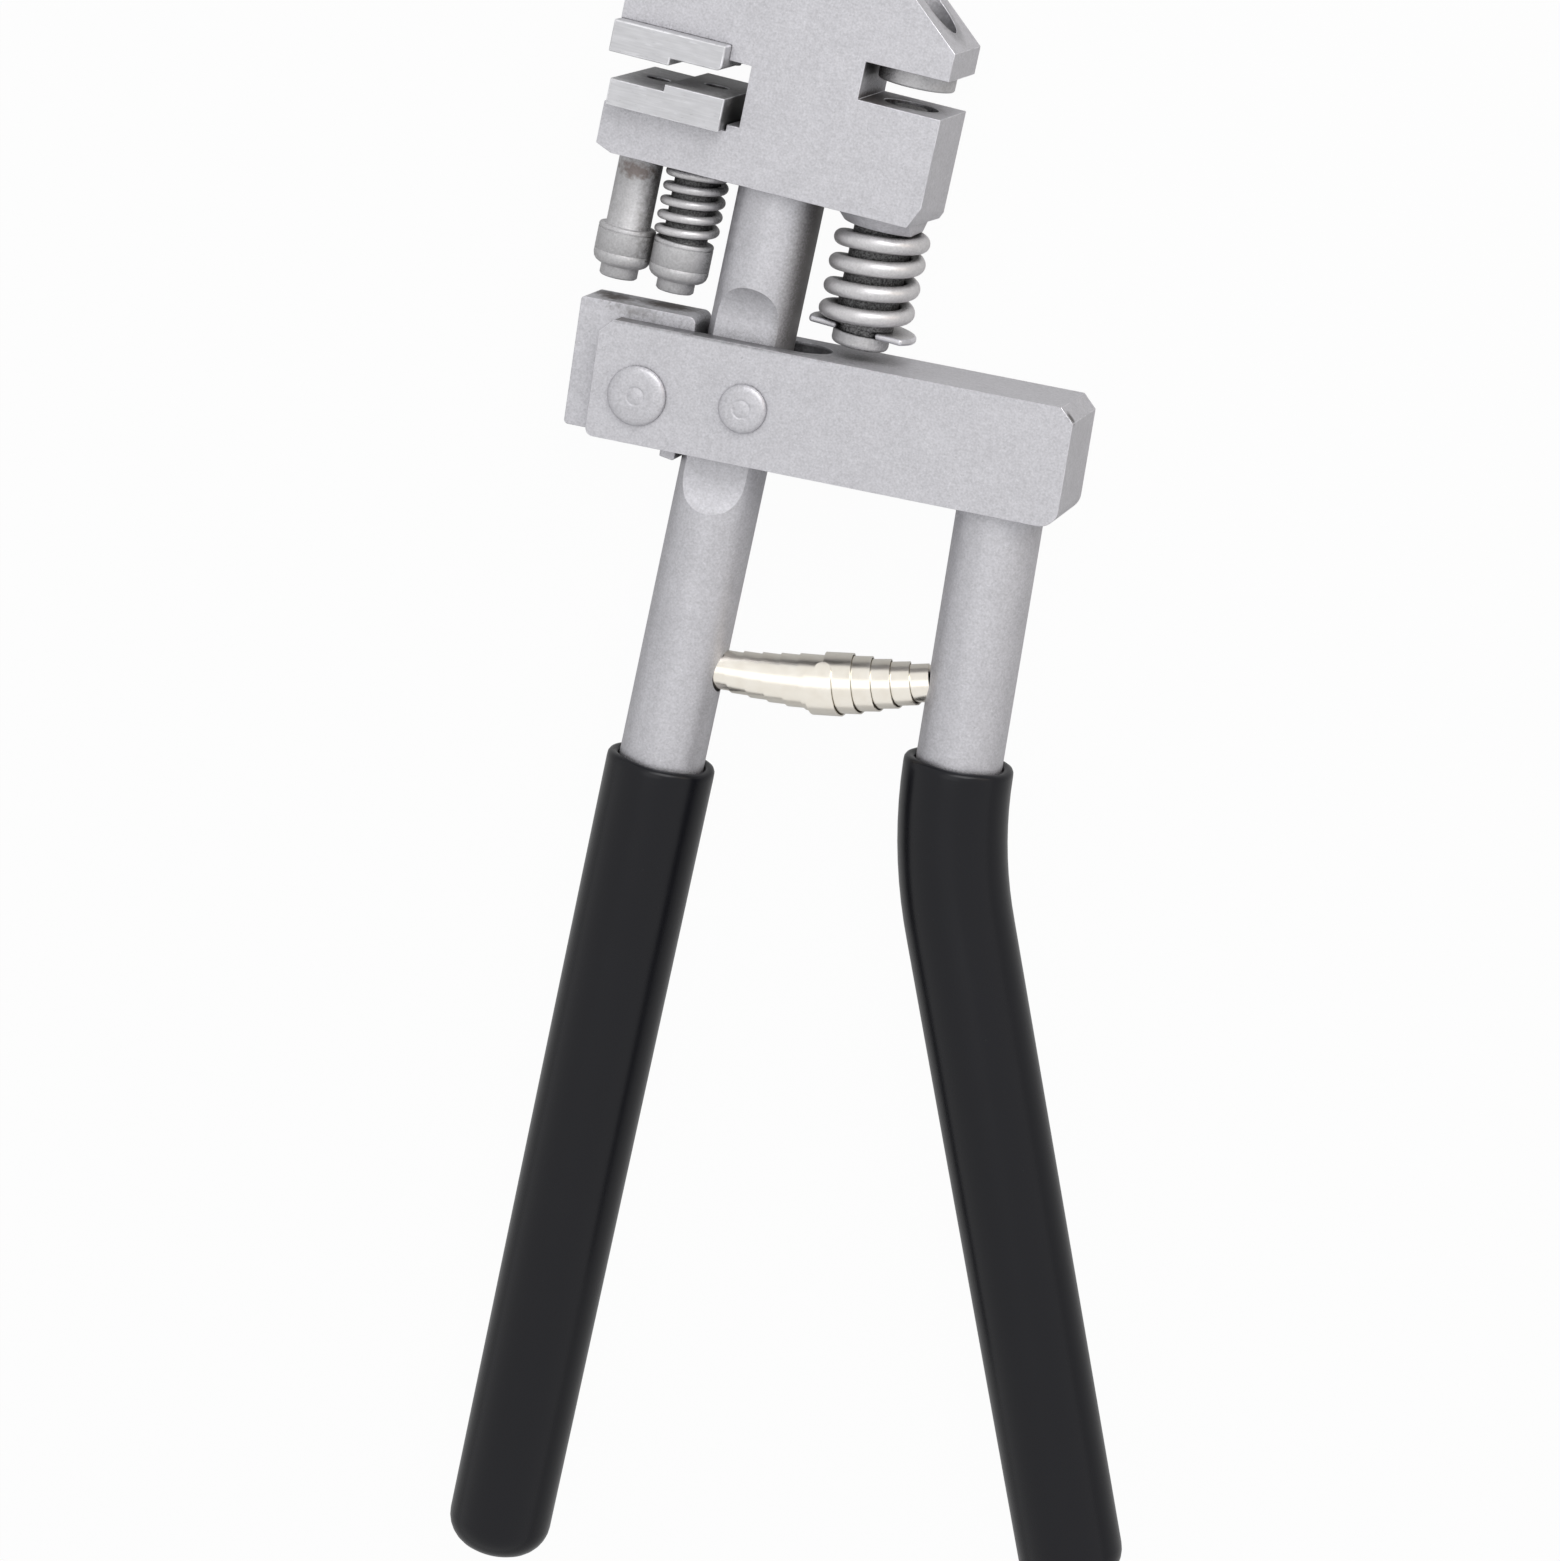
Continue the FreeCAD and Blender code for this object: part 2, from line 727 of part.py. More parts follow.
def make_pusher():
    corners = [
        (-pusher_left, -pusher_low, pusher_edge_round),
        (pusher_right_low - foot_width, -pusher_low, 0),
        (pusher_right_low - foot_width, -pusher_low - foot_length, 0),
        (pusher_right_low, -pusher_low - foot_length, foot_round),
        (pusher_right_top, pusher_top, pusher_round),
        (-pusher_left, pusher_top, pusher_edge_round),
    ]
    block = plate(corners, pusher_half_thick)
    hole = rivet_bar(0, 0, pusher_pin_radius + running_clearance, pusher_half_thick + past)
    pusher = whole(block.cut(hole))
    pusher.translate(Vector(pusher_rivet_x, pusher_rivet_y, 0))
    return on_lever(pusher)


def make_volute_spring():
    """Double volute: one flat strip wound wide in the middle and narrow at both ends."""
    main, lever = volute_ends()
    span = (lever - main).Length - 2 * volute_seat - 2 * seat_gap
    length = span - volute_width

    def place(t):
        share = t / volute_turns
        radius = volute_mid_radius - abs(2 * share - 1) * (volute_mid_radius - volute_end_radius)
        radius -= volute_thick / 2
        angle = 2 * math.pi * t
        return Vector(radius * math.sin(angle), radius * math.cos(angle), length * share)

    path = winding_wire(place, volute_turns)
    start = place(0)
    inner = Vector(start.x, start.y - volute_thick / 2, start.z - volute_width / 2)
    corners = [inner, inner + Vector(0, volute_thick, 0),
               inner + Vector(0, volute_thick, volute_width), inner + Vector(0, 0, volute_width)]
    shell = Part.BRepOffsetAPI.MakePipeShell(path)
    shell.setBiNormalMode(AXIS_Z)
    shell.add(Part.makePolygon(corners + corners[:1]))
    shell.build()
    shell.makeSolid()
    strip = shell.shape()
    print("volute_spring axial gap", round(length / volute_turns - volute_width, 2))
    direction = (lever - main).normalize()
    turn = FreeCAD.Rotation(AXIS_Z, direction)
    begin = main + direction * (volute_seat + seat_gap + volute_width / 2)
    strip.Placement = FreeCAD.Placement(begin, turn)
    return strip


# Travel

def pusher_top_at_squeeze():
    """Height of the pusher's top when the handles are squeezed and the top is level."""
    angle = math.radians(lever_tilt - lever_swing)
    rivet = pusher_rivet_x * math.sin(angle) + pusher_rivet_y * math.cos(angle)
    return rivet + pusher_top


# All sub-parts

def make_parts():
    lower_spring_seat = head_bottom - collar_top
    punch_spring_top = head_bottom - bush_cone
    punch_spring_low = head_bottom - clip_drop
    return {
        "head_block": make_head(),
        "upper_joggle_die": make_upper_die(),
        "upper_die_screw_outer": make_die_screw(push_rod_outer_x),
        "upper_die_screw_inner": make_die_screw(push_rod_inner_x),
        "lower_joggle_die": make_lower_die(),
        "push_rod_outer": make_push_rod(push_rod_outer_x, collar_radius_outer),
        "push_rod_inner": make_push_rod(push_rod_inner_x, collar_radius_inner),
        "joggle_return_spring": coil_spring("joggle_return_spring", push_rod_inner_x, head_bottom,
                                            lower_spring_seat, joggle_wire, joggle_spring_outer,
                                            joggle_turns, 0.5),
        "punch_die_button": make_die_button(),
        "punch_guide_bush": make_guide_bush(),
        "punch_pin": make_punch(),
        "punch_cross_pin": make_spring_clip(),
        "punch_return_spring": coil_spring("punch_return_spring", punch_x, punch_spring_top,
                                           punch_spring_low, punch_wire, punch_spring_outer,
                                           punch_turns, 0.62),
        "main_rod": make_main_rod(),
        "main_grip": make_main_grip(),
        "head_washer": make_washer(),
        "head_nut": make_nut(),
        "lever_block": make_lever_block(),
        "lever_rod": make_lever_rod(),
        "lever_grip": make_lever_grip(),
        "pivot_rivet": make_rivet(0, 0, pivot_pin_radius, pivot_head_radius),
        "pusher_block": make_pusher(),
        "pusher_rivet": make_rivet(pusher_rivet_x, pusher_rivet_y, pusher_pin_radius, pusher_head_radius),
        "volute_spring": make_volute_spring(),
    }


parts = make_parts()
bounds = Part.makeCompound(list(parts.values())).optimalBoundingBox()
origin = Vector(bounds.Center.x, bounds.Center.y, bounds.ZMin)
os.makedirs("parts", exist_ok=True)
for name, shape in parts.items():
    placed = shape.copy()
    placed.translate(origin * -1)
    if not placed.isValid() or len(placed.Solids) != 1:
        print("CHECK", name, "valid", placed.isValid(), "solids", len(placed.Solids))
    placed.exportStep("parts/" + name + ".step")

squeeze_top = pusher_top_at_squeeze()
print("origin in the layout", [round(v, 3) for v in origin])
print("size", round(bounds.XLength, 2), round(bounds.YLength, 2), round(bounds.ZLength, 2))
print("joggle travel", round(squeeze_top + running_clearance - nub_end, 3))
print("punch travel", round(squeeze_top + running_clearance - punch_end, 3))
print("pusher rivet", [round(v, 3) for v in lever_place(pusher_rivet_x, pusher_rivet_y)])
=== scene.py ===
# %% [markdown]
# # A joggling and punching plier
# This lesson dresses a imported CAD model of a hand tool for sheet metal: a blasted steel head
# with two throats, a lever on a rivet, two round bars and two dipped black grips. The CAD
# pieces already have their sizes and places, so the work here is edges, springs, surfaces,
# light and the camera. The tool lies on its back, with its head towards +Y.

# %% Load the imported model
import json
import math

import bpy
from mathutils import Matrix, Vector


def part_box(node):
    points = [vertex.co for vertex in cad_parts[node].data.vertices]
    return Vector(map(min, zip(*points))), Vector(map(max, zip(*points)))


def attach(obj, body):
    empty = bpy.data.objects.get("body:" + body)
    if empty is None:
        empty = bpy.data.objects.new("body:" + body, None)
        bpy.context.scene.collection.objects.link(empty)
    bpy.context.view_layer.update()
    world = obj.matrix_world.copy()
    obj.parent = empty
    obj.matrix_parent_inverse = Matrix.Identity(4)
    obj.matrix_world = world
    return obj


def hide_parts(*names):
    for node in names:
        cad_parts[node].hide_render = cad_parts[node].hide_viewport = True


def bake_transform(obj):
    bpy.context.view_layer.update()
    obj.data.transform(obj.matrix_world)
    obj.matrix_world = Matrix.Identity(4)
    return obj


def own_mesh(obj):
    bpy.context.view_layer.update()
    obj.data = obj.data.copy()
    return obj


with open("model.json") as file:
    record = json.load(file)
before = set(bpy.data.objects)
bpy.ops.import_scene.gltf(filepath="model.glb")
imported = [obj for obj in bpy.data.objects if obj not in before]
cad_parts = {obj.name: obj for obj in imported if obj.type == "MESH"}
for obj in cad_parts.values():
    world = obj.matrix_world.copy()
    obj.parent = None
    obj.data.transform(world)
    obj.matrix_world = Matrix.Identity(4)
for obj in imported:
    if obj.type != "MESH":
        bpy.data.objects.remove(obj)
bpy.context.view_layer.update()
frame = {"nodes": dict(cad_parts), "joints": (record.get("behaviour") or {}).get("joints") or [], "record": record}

# %% [markdown]
# Where they can be, the later pieces are placed from the model itself, so that they still fit
# when a size changes. A node's box gives its two corners, and the middle between them lies on
# the axis of a round piece, such as the main rod, the punch or a push rod.

# %% Shared places
MM = 0.001
RIGHTWARDS = (1, 0, 0)
HEADWARDS = (0, 1, 0)
FRONTWARDS = (0, 0, 1)


def middle(node):
    low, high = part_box(node)
    return (low + high) / 2


joints = {joint["name"]: joint for joint in frame["joints"]}
pivot = Vector(joints["lever_pivot"]["pos_m"])
rod_axis = Vector((middle("main_rod").x, pivot.y, pivot.z))
print("pivot", tuple(round(v, 4) for v in pivot), "rod axis x", round(rod_axis.x, 4))

# %% [markdown]
# ## The camera
# The photograph looks down on the tool from a little above the head and a little to the
# right, with the camera rolled so that the tool leans. A long lens keeps the bars nearly
# parallel. The place was solved from the straight edges in the photograph, and it is
# written as a real distance, a direction and a roll, which is how one would set a tripod.

# %% Camera
CAMERA_DISTANCE = 0.9267
CAMERA_TARGET = rod_axis + Vector((22.9 * MM, -68.1 * MM, 0))
TILT_TO_HEAD = math.radians(15.68)
TILT_TO_RIGHT = math.radians(12.18)
ROLL = math.radians(12.40)
FOCAL_PIXELS = 5000
PHOTO_WIDTH = 1560

towards = Vector((math.tan(TILT_TO_RIGHT), math.tan(TILT_TO_HEAD), 1)).normalized()
upright = (Vector(HEADWARDS) - towards * towards.y).normalized()
upright = Matrix.Rotation(ROLL, 3, towards) @ upright
sideways = upright.cross(towards)
camera_data = bpy.data.cameras.new("Tripod camera")
camera_data.sensor_fit = "HORIZONTAL"
camera_data.sensor_width = 36
camera_data.lens = 36 * FOCAL_PIXELS / PHOTO_WIDTH
camera = bpy.data.objects.new("Tripod camera", camera_data)
bpy.context.collection.objects.link(camera)
turn = Matrix((sideways, upright, towards)).transposed().to_4x4()
camera.matrix_world = Matrix.Translation(CAMERA_TARGET + towards * CAMERA_DISTANCE) @ turn
bpy.context.scene.camera = camera
print("lens", round(camera_data.lens, 1), "mm at", tuple(round(v, 3) for v in camera.location))

# %% [markdown]
# ## Tools of the bench
# Blender's operators act on whatever is selected, and a freshly loaded model is selected
# all over. Three small helpers keep that in hand: one clears the selection, one selects a
# single object, and one adds a modifier and applies it at once. The others smooth a piece,
# settle its place into its mesh, look up a node's body and material slot, and put a finished
# piece in the node's place.

# %% Selection, modifiers and nodes
def deselect():
    bpy.ops.object.select_all(action="DESELECT")


def work_on(piece):
    deselect()
    piece.select_set(True)
    bpy.context.view_layer.objects.active = piece


def shape_with(piece, kind, **settings):
    """Adds a modifier, sets it and applies it."""
    work_on(piece)
    bpy.ops.object.modifier_add(type=kind)
    modifier = piece.modifiers[-1]
    for name, value in settings.items():
        setattr(modifier, name, value)
    bpy.ops.object.modifier_apply(modifier=modifier.name)


def smooth(piece, degrees):
    work_on(piece)
    bpy.ops.object.shade_smooth_by_angle(angle=math.radians(degrees))


def settle(piece):
    """Moves the object's place, turn and scale into its mesh."""
    work_on(piece)
    bpy.ops.object.transform_apply(location=True, rotation=True, scale=True)


def body_of(node):
    for body, members in frame["record"]["behaviour"]["bodies"].items():
        if node in members:
            return body


def slot_of(node):
    for part in frame["record"]["subparts"]:
        if part["node"] == node:
            return part["material_slot"]


def stand_for(piece, node):
    """Puts a finished piece in a CAD node's place and on its body."""
    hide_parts(node)
    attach(piece, body_of(node))
    slot_of(node)
    pieces[node] = piece


pieces = {}

# %% [markdown]
# ## Eased edges
# No machined edge is perfectly sharp: a file or the blasting rounds it by a few tenths of a
# millimetre, and that small round is what catches the light. The CAD solids are sharp, so
# each machined one is copied, its triangles are joined into clean faces, and a narrow bevel
# goes round every edge that turns by more than a curved wall's facets do. The bevel gives its own
# faces a second material slot, whose lighter colour is partly wear from handling and partly a
# painted highlight. The main rod's milled flats meet its round at a shallow angle, so its limits are lower.

# %% Widths and limits
EDGE_WIDTHS = {
    "head_block": 0.4,
    "upper_joggle_die": 0.35,
    "lower_joggle_die": 0.35,
    "punch_die_button": 0.45,
    "punch_guide_bush": 0.3,
    "punch_pin": 0.2,
    "punch_cross_pin": 0.5,
    "main_rod": 0.25,
    "head_washer": 0.2,
    "head_nut": 0.25,
    "lever_block": 0.5,
    "lever_rod": 0.25,
    "pusher_block": 0.45,
}
# Degrees: the bevel goes on edges above the first, shading stays smooth below the second
SHARP_LIMITS = (28, 40)
SHALLOW_LIMITS = (18, 18)
print("widest edge", max(EDGE_WIDTHS.values()), "mm, narrowest", min(EDGE_WIDTHS.values()), "mm")

# %% [markdown]
# ## Three details that come before the edges
# The punch's tip stands in a shallow round well in the throat's floor, which is cut with a
# cylinder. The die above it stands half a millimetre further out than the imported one, and
# the pusher's foot shows a little more under the lever: for these two it is enough to move
# the few points at that end. All of this comes first, so that the new edges are eased too.

# %% The well, the die and the foot
WELL_RADIUS = 5.0
WELL_DEPTH = 3.0
TIP_RECESS = 0.3
MORE_PROUD = 0.5
FOOT_WIDTH = 3.4
FOOT_MIDDLE = 2.0
FOOT_HEIGHT = 2.1
FOOT_SOLE = 0.8
FOOT_LEFT_SHIFT = (0.7, 0.4)
FOOT_RIGHT_SHIFT = (0.4, 0.8)


def cut_well(piece):
    """Sinks the round well, wider than the punch's tip, into the throat's floor."""
    tip = middle("punch_pin")
    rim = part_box("punch_pin")[1].y + TIP_RECESS * MM
    deselect()
    bpy.ops.mesh.primitive_cylinder_add(vertices=72, radius=WELL_RADIUS * MM, depth=2 * WELL_DEPTH * MM,
                                        location=(tip.x, rim, tip.z), rotation=(math.pi / 2, 0, 0))
    cutter = bpy.context.object
    shape_with(piece, "BOOLEAN", operation="DIFFERENCE", solver="EXACT", object=cutter)
    bpy.data.objects.remove(cutter)


def stand_proud(piece):
    """Draws the die's lower face down, away from the throat's ceiling."""
    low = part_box("punch_die_button")[0].y
    for vertex in piece.data.vertices:
        if vertex.co.y < low + 0.01 * MM:
            vertex.co.y -= MORE_PROUD * MM


def deepen_foot(piece):
    """Draws the pusher's foot further down under the lever and towards the rod."""
    low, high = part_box("pusher_block")
    for vertex in piece.data.vertices:
        reach = (high.x - vertex.co.x) / MM
        height = (vertex.co.y - low.y) / MM
        if reach < FOOT_WIDTH and height < FOOT_HEIGHT:
            right, down = FOOT_LEFT_SHIFT if reach > FOOT_MIDDLE else FOOT_RIGHT_SHIFT
            vertex.co.x += right * MM
            if height < FOOT_SOLE:
                vertex.co.y -= down * MM


BEFORE_EASING = {"head_block": cut_well, "punch_die_button": stand_proud, "pusher_block": deepen_foot}
print("well", 2 * WELL_RADIUS, "mm across, die", MORE_PROUD, "mm further out")

# %% Ease the edges of the machined pieces
def round_edges(piece, width, limits):
    """Narrow round bevel, in the second slot, on the sharp edges; the flats keep their normals."""
    piece.data.materials.append(None)
    piece.data.materials.append(None)
    bevel_above, smooth_below = limits
    shape_with(piece, "BEVEL", width=width * MM, segments=3, limit_method="ANGLE",
               angle_limit=math.radians(bevel_above), material=1)
    smooth(piece, smooth_below)
    shape_with(piece, "WEIGHTED_NORMAL", weight=80, keep_sharp=True)


def eased(node, width):
    """Copy of a CAD piece with clean faces and eased edges."""
    source = frame["nodes"][node]
    piece = bpy.data.objects.new("eased_" + node, source.data.copy())
    piece.data.materials.clear()
    bpy.context.collection.objects.link(piece)
    work_on(piece)
    bpy.ops.object.mode_set(mode="EDIT")
    bpy.ops.mesh.select_all(action="SELECT")
    bpy.ops.mesh.remove_doubles(threshold=2e-6)
    bpy.ops.mesh.dissolve_limited(angle_limit=math.radians(0.8))
    bpy.ops.object.mode_set(mode="OBJECT")
    if node in BEFORE_EASING:
        BEFORE_EASING[node](piece)
    round_edges(piece, width, SHALLOW_LIMITS if node == "main_rod" else SHARP_LIMITS)
    stand_for(piece, node)


for node, width in EDGE_WIDTHS.items():
    eased(node, width)
print("eased", len(pieces), "pieces,", sum(len(p.data.polygons) for p in pieces.values()), "faces")

# %% [markdown]
# ## Turned pieces
# The push rods, the rivets and the grips are all round about one axis. On a lathe the tool
# follows a profile; here a circle is extruded from one radius and height to the next, which
# gives clean rings of faces and lets a fine groove or a soft shoulder be one more pair of
# numbers.

# %% The lathe
def turned(name, profile, corners=72):
    """Turned piece about +Z from (radius, height) pairs in millimetres, closed at both ends."""
    radius, height = profile[0]
    deselect()
    bpy.ops.mesh.primitive_circle_add(vertices=corners, radius=radius * MM, location=(0, 0, height * MM))
    piece = bpy.context.object
    piece.name = name
    bpy.ops.object.mode_set(mode="EDIT")
    bpy.ops.mesh.select_all(action="SELECT")
    for next_radius, next_height in profile[1:]:
        step = (0, 0, (next_height - height) * MM)
        bpy.ops.mesh.extrude_region_move(TRANSFORM_OT_translate={"value": step})
        grow = next_radius / radius
        bpy.ops.transform.resize(value=(grow, grow, 1), center_override=(0, 0, next_height * MM))
        radius, height = next_radius, next_height
    close_shell(piece)
    settle(piece)
    return piece


def close_shell(piece):
    """Fills the open ends and turns every face outwards; leaves edit mode."""
    bpy.ops.mesh.select_all(action="SELECT")
    bpy.ops.mesh.fill_holes(sides=0)
    bpy.ops.mesh.normals_make_consistent(inside=False)
    bpy.ops.object.mode_set(mode="OBJECT")


def stand_at(piece, place, direction):
    """Sets a piece's +Z along a direction, with its origin at a place."""
    aim = Vector(direction).to_track_quat("Z", "Y")
    piece.matrix_world = Matrix.Translation(place) @ aim.to_matrix().to_4x4()
    settle(piece)


# %% [markdown]
# A push rod has a nub that the pusher lifts, a thick collar with a fine groove, a plain stem
# and a stud in the lower die. Lengths and collars come from the CAD pieces, and the rest of
# the profile follows from them.

# %% Push rods with their collars
ROD_RADIUS = 4.1
NUB_RADIUS = 3.5
COLLAR_LOW = 2.15
COLLAR_TOP = 9.55
for node in ("push_rod_outer", "push_rod_inner"):
    low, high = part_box(node)
    collar = (high.x - low.x) / 2 / MM
    length = (high.y - low.y) / MM
    seat = (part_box("lower_joggle_die")[0].y - low.y) / MM
    rod = turned(node + "_turned", [
        (NUB_RADIUS - 0.3, 0), (NUB_RADIUS, 0.3), (NUB_RADIUS, COLLAR_LOW - 0.05),
        (collar - 1.6, COLLAR_LOW), (collar - 1.15, COLLAR_LOW + 0.12), (collar - 0.6, COLLAR_LOW + 0.45),
        (collar - 0.2, COLLAR_LOW + 0.95), (collar, COLLAR_LOW + 1.7),
        (collar, COLLAR_LOW + 2.5), (collar - 0.08, COLLAR_LOW + 2.57), (collar, COLLAR_LOW + 2.64),
        (collar, COLLAR_TOP - 1.0), (collar - 0.14, COLLAR_TOP - 0.92), (collar - 0.14, COLLAR_TOP - 0.78),
        (collar, COLLAR_TOP - 0.7), (collar - 0.02, COLLAR_TOP - 0.3), (collar - 0.18, COLLAR_TOP - 0.07),
        (collar - 0.4, COLLAR_TOP), (ROD_RADIUS + 0.15, COLLAR_TOP + 0.02), (ROD_RADIUS, COLLAR_TOP + 0.25),
        (ROD_RADIUS, seat), (2.2, seat), (2.2, length)])
    stand_at(rod, Vector((middle(node).x, low.y, middle(node).z)), HEADWARDS)
    smooth(rod, 50)
    stand_for(rod, node)
    print(node, round(length, 1), "mm long, collar", round(2 * collar, 1), "mm across")

# %% [markdown]
# ## Rivets
# Both rivets were closed in a press, which leaves a low button with a soft shoulder and, in
# its middle, the small ring of the press tool. One profile runs from the back head through
# the pin to the front head, because the same tool closed both sides.

# %% Rivets
RIVET_HEAD = 1.5


def rivet(node, head_radius, pin_radius):
    """Rivet along Z, with the same pressed head at both ends."""
    low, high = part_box(node)
    half = (high.z - low.z) / 2 / MM
    base = half - RIVET_HEAD
    r = head_radius
    head = [(r - 0.55, base + 0.01), (r - 0.2, base + 0.12), (r - 0.03, base + 0.35), (r, base + 0.6),
            (r - 0.12, base + 0.86), (r - 0.38, base + 1.1), (r - 0.85, base + 1.28),
            (r - 1.5, base + 1.37), (1.95, base + 1.44), (1.8, base + 1.44), (1.68, base + 1.37),
            (1.5, base + 1.37), (1.38, base + 1.42), (0.3, base + 1.45)]
    front = [(pin_radius, 0), (pin_radius, base)] + head
    back = [(radius, -height) for radius, height in reversed([(pin_radius, base)] + head)]
    piece = turned(node + "_pressed", back + front)
    stand_at(piece, middle(node), FRONTWARDS)
    smooth(piece, 55)
    stand_for(piece, node)
    print(node, round(2 * half, 1), "mm long")


rivet("pusher_rivet", 5.5, 3.5)
rivet("pivot_rivet", 4.5, 3.0)

# %% [markdown]
# ## Coil springs
# A coil spring is a round wire wound on a helix. The Screw modifier does exactly that: a
# small circle, set off from the axis, is carried round and along it. Real springs are wound
# closer at both ends, so that they stand flat; after the winding, each ring of points is
# moved along the axis by that amount.

# %% Wind the two return springs
END_PITCH = 1.1
END_EASE = 0.5
RINGS_PER_TURN = 56


def closed_end(turn):
    """Turns that the pitch growth at an end has taken, up to the given turn."""
    turn = max(0.0, min(turn, END_EASE))
    return (turn + END_EASE / math.pi * math.sin(math.pi * turn / END_EASE)) / 2


def coil(node, wire, turns, start_turn, corners, lift=0.0):
    """Round-wire spring in the place of its CAD node, rising along +Y from its seat."""
    low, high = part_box(node)
    low.y += lift * MM
    axis = (low + high) / 2
    outer = (high.x - low.x) / MM
    mean = (outer - wire) / 2
    rise = (high.y - low.y) / MM - wire
    deselect()
    bpy.ops.mesh.primitive_circle_add(vertices=corners, radius=wire / 2 * MM)
    piece = bpy.context.object
    piece.name = node + "_wire"
    bpy.ops.object.mode_set(mode="EDIT")
    bpy.ops.mesh.select_all(action="SELECT")
    bpy.ops.transform.translate(value=(mean * MM, 0, 0))
    bpy.ops.object.mode_set(mode="OBJECT")
    steps = int(turns * RINGS_PER_TURN)
    shape_with(piece, "SCREW", axis="Y", angle=2 * math.pi * turns, screw_offset=rise * MM,
               steps=steps, render_steps=steps)
    pitch = (rise - END_PITCH * END_EASE) / (turns - END_EASE)
    for i, vertex in enumerate(piece.data.vertices):
        turn = turns * (i // corners) / steps
        eased_turns = closed_end(turn) + closed_end(END_EASE) - closed_end(turns - turn)
        wanted = pitch * turn - (pitch - END_PITCH) * eased_turns
        vertex.co.y += (wanted - rise * turn / turns) * MM
    work_on(piece)
    bpy.ops.object.mode_set(mode="EDIT")
    close_shell(piece)
    piece.rotation_euler = (0, 2 * math.pi * (start_turn - 0.25), 0)
    piece.location = (axis.x, low.y + wire / 2 * MM, axis.z)
    settle(piece)
    smooth(piece, 60)
    return piece


def squeezed(spring, node):
    """Puts the spring in its CAD node's place, with a mesh of its own."""
    stand_for(spring, node)
    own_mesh(spring)


joggle_coil = coil("joggle_return_spring", wire=1.6, turns=4.75, start_turn=0.5, corners=20, lift=0.55)
squeezed(joggle_coil, "joggle_return_spring")
punch_coil = coil("punch_return_spring", wire=3.0, turns=3.75, start_turn=0.62, corners=28)
squeezed(punch_coil, "punch_return_spring")

# %% [markdown]
# ## The volute spring
# The handle spring is two flat strips. Each is narrow where it sits in its rod and grows
# towards the middle, where one goes over the other, so every turn tucks under its neighbour.
# Screw winds a constant radius, so the strip is wound straight first, and each ring of its
# points is then drawn towards the axis by its place along the strip. The first part of a turn
# stays flat against the rod, and the free end at the widest turn is a round tab.

# %% Wind one strip
STRIP_WIDTH = 5.2
STRIP_THICK = 0.28
STRIP_TURNS = 6.0
STATIONS_PER_TURN = 90
STRIP_CORNERS = 4
DEAD_TURNS = 0.6
TAB_WIDTH = 3.0
TAB_LEAD = 3.0


def tab_edges(reach):
    """Low and high edge of the strip at a distance from its free end, which is a round tab."""
    half = TAB_WIDTH / 2
    width = STRIP_WIDTH
    if reach < TAB_LEAD:
        width = TAB_WIDTH + (STRIP_WIDTH - TAB_WIDTH) * max(0, reach - half) / (TAB_LEAD - half)
    if reach >= half:
        return 0, width
    cut = half - half * max(0.25, math.sqrt(1 - (1 - reach / half) ** 2))
    return cut, width - cut


def strip(name, rise, narrow, wide, start_turn):
    """Strip from a narrow end at y = 0 to its widest turn; the sizes are millimetres."""
    deselect()
    bpy.ops.mesh.primitive_plane_add(size=MM)
    piece = bpy.context.object
    piece.name = name
    bpy.ops.object.mode_set(mode="EDIT")
    bpy.ops.mesh.select_all(action="SELECT")
    bpy.ops.transform.resize(value=(STRIP_THICK, STRIP_WIDTH, 1))
    bpy.ops.transform.translate(value=((wide - STRIP_THICK / 2) * MM, STRIP_WIDTH / 2 * MM, 0))
    bpy.ops.mesh.delete(type="ONLY_FACE")
    bpy.ops.object.mode_set(mode="OBJECT")
    steps = int(STRIP_TURNS * STATIONS_PER_TURN)
    shape_with(piece, "SCREW", axis="Y", angle=2 * math.pi * STRIP_TURNS, screw_offset=rise * MM,
               steps=steps, render_steps=steps)
    for i, vertex in enumerate(piece.data.vertices):
        wound = (i // STRIP_CORNERS) / steps
        share = max(0, wound * STRIP_TURNS - DEAD_TURNS) / (STRIP_TURNS - DEAD_TURNS)
        radius = math.hypot(vertex.co.x, vertex.co.z)
        drawn = 1 - (1 - share) * (wide - narrow) * MM / radius
        vertex.co.x *= drawn
        vertex.co.z *= drawn
        foot = rise * share
        low, high = tab_edges((1 - share) * (STRIP_TURNS - DEAD_TURNS) * 2 * math.pi * wide)
        place = (vertex.co.y / MM - rise * wound) / STRIP_WIDTH
        vertex.co.y = (foot + low + place * (high - low)) * MM
    work_on(piece)
    bpy.ops.object.mode_set(mode="EDIT")
    close_shell(piece)
    piece.rotation_euler = (0, 2 * math.pi * start_turn, 0)
    settle(piece)
    return piece


# %% [markdown]
# The CAD spring runs in a slight slope from rod to rod. Its two ends are found from the mean
# places of its two halves. The right strip is wound like the left one and turned end for
# end, and then both get the sag and go to their place.

# %% Set both strips between the rods
SAG = 1.5
SAG_ARC = math.pi * 0.94


def mean_place(points):
    """Mean x and y of some points."""
    return [sum(point[axis] for point in points) / len(points) for axis in (0, 1)]


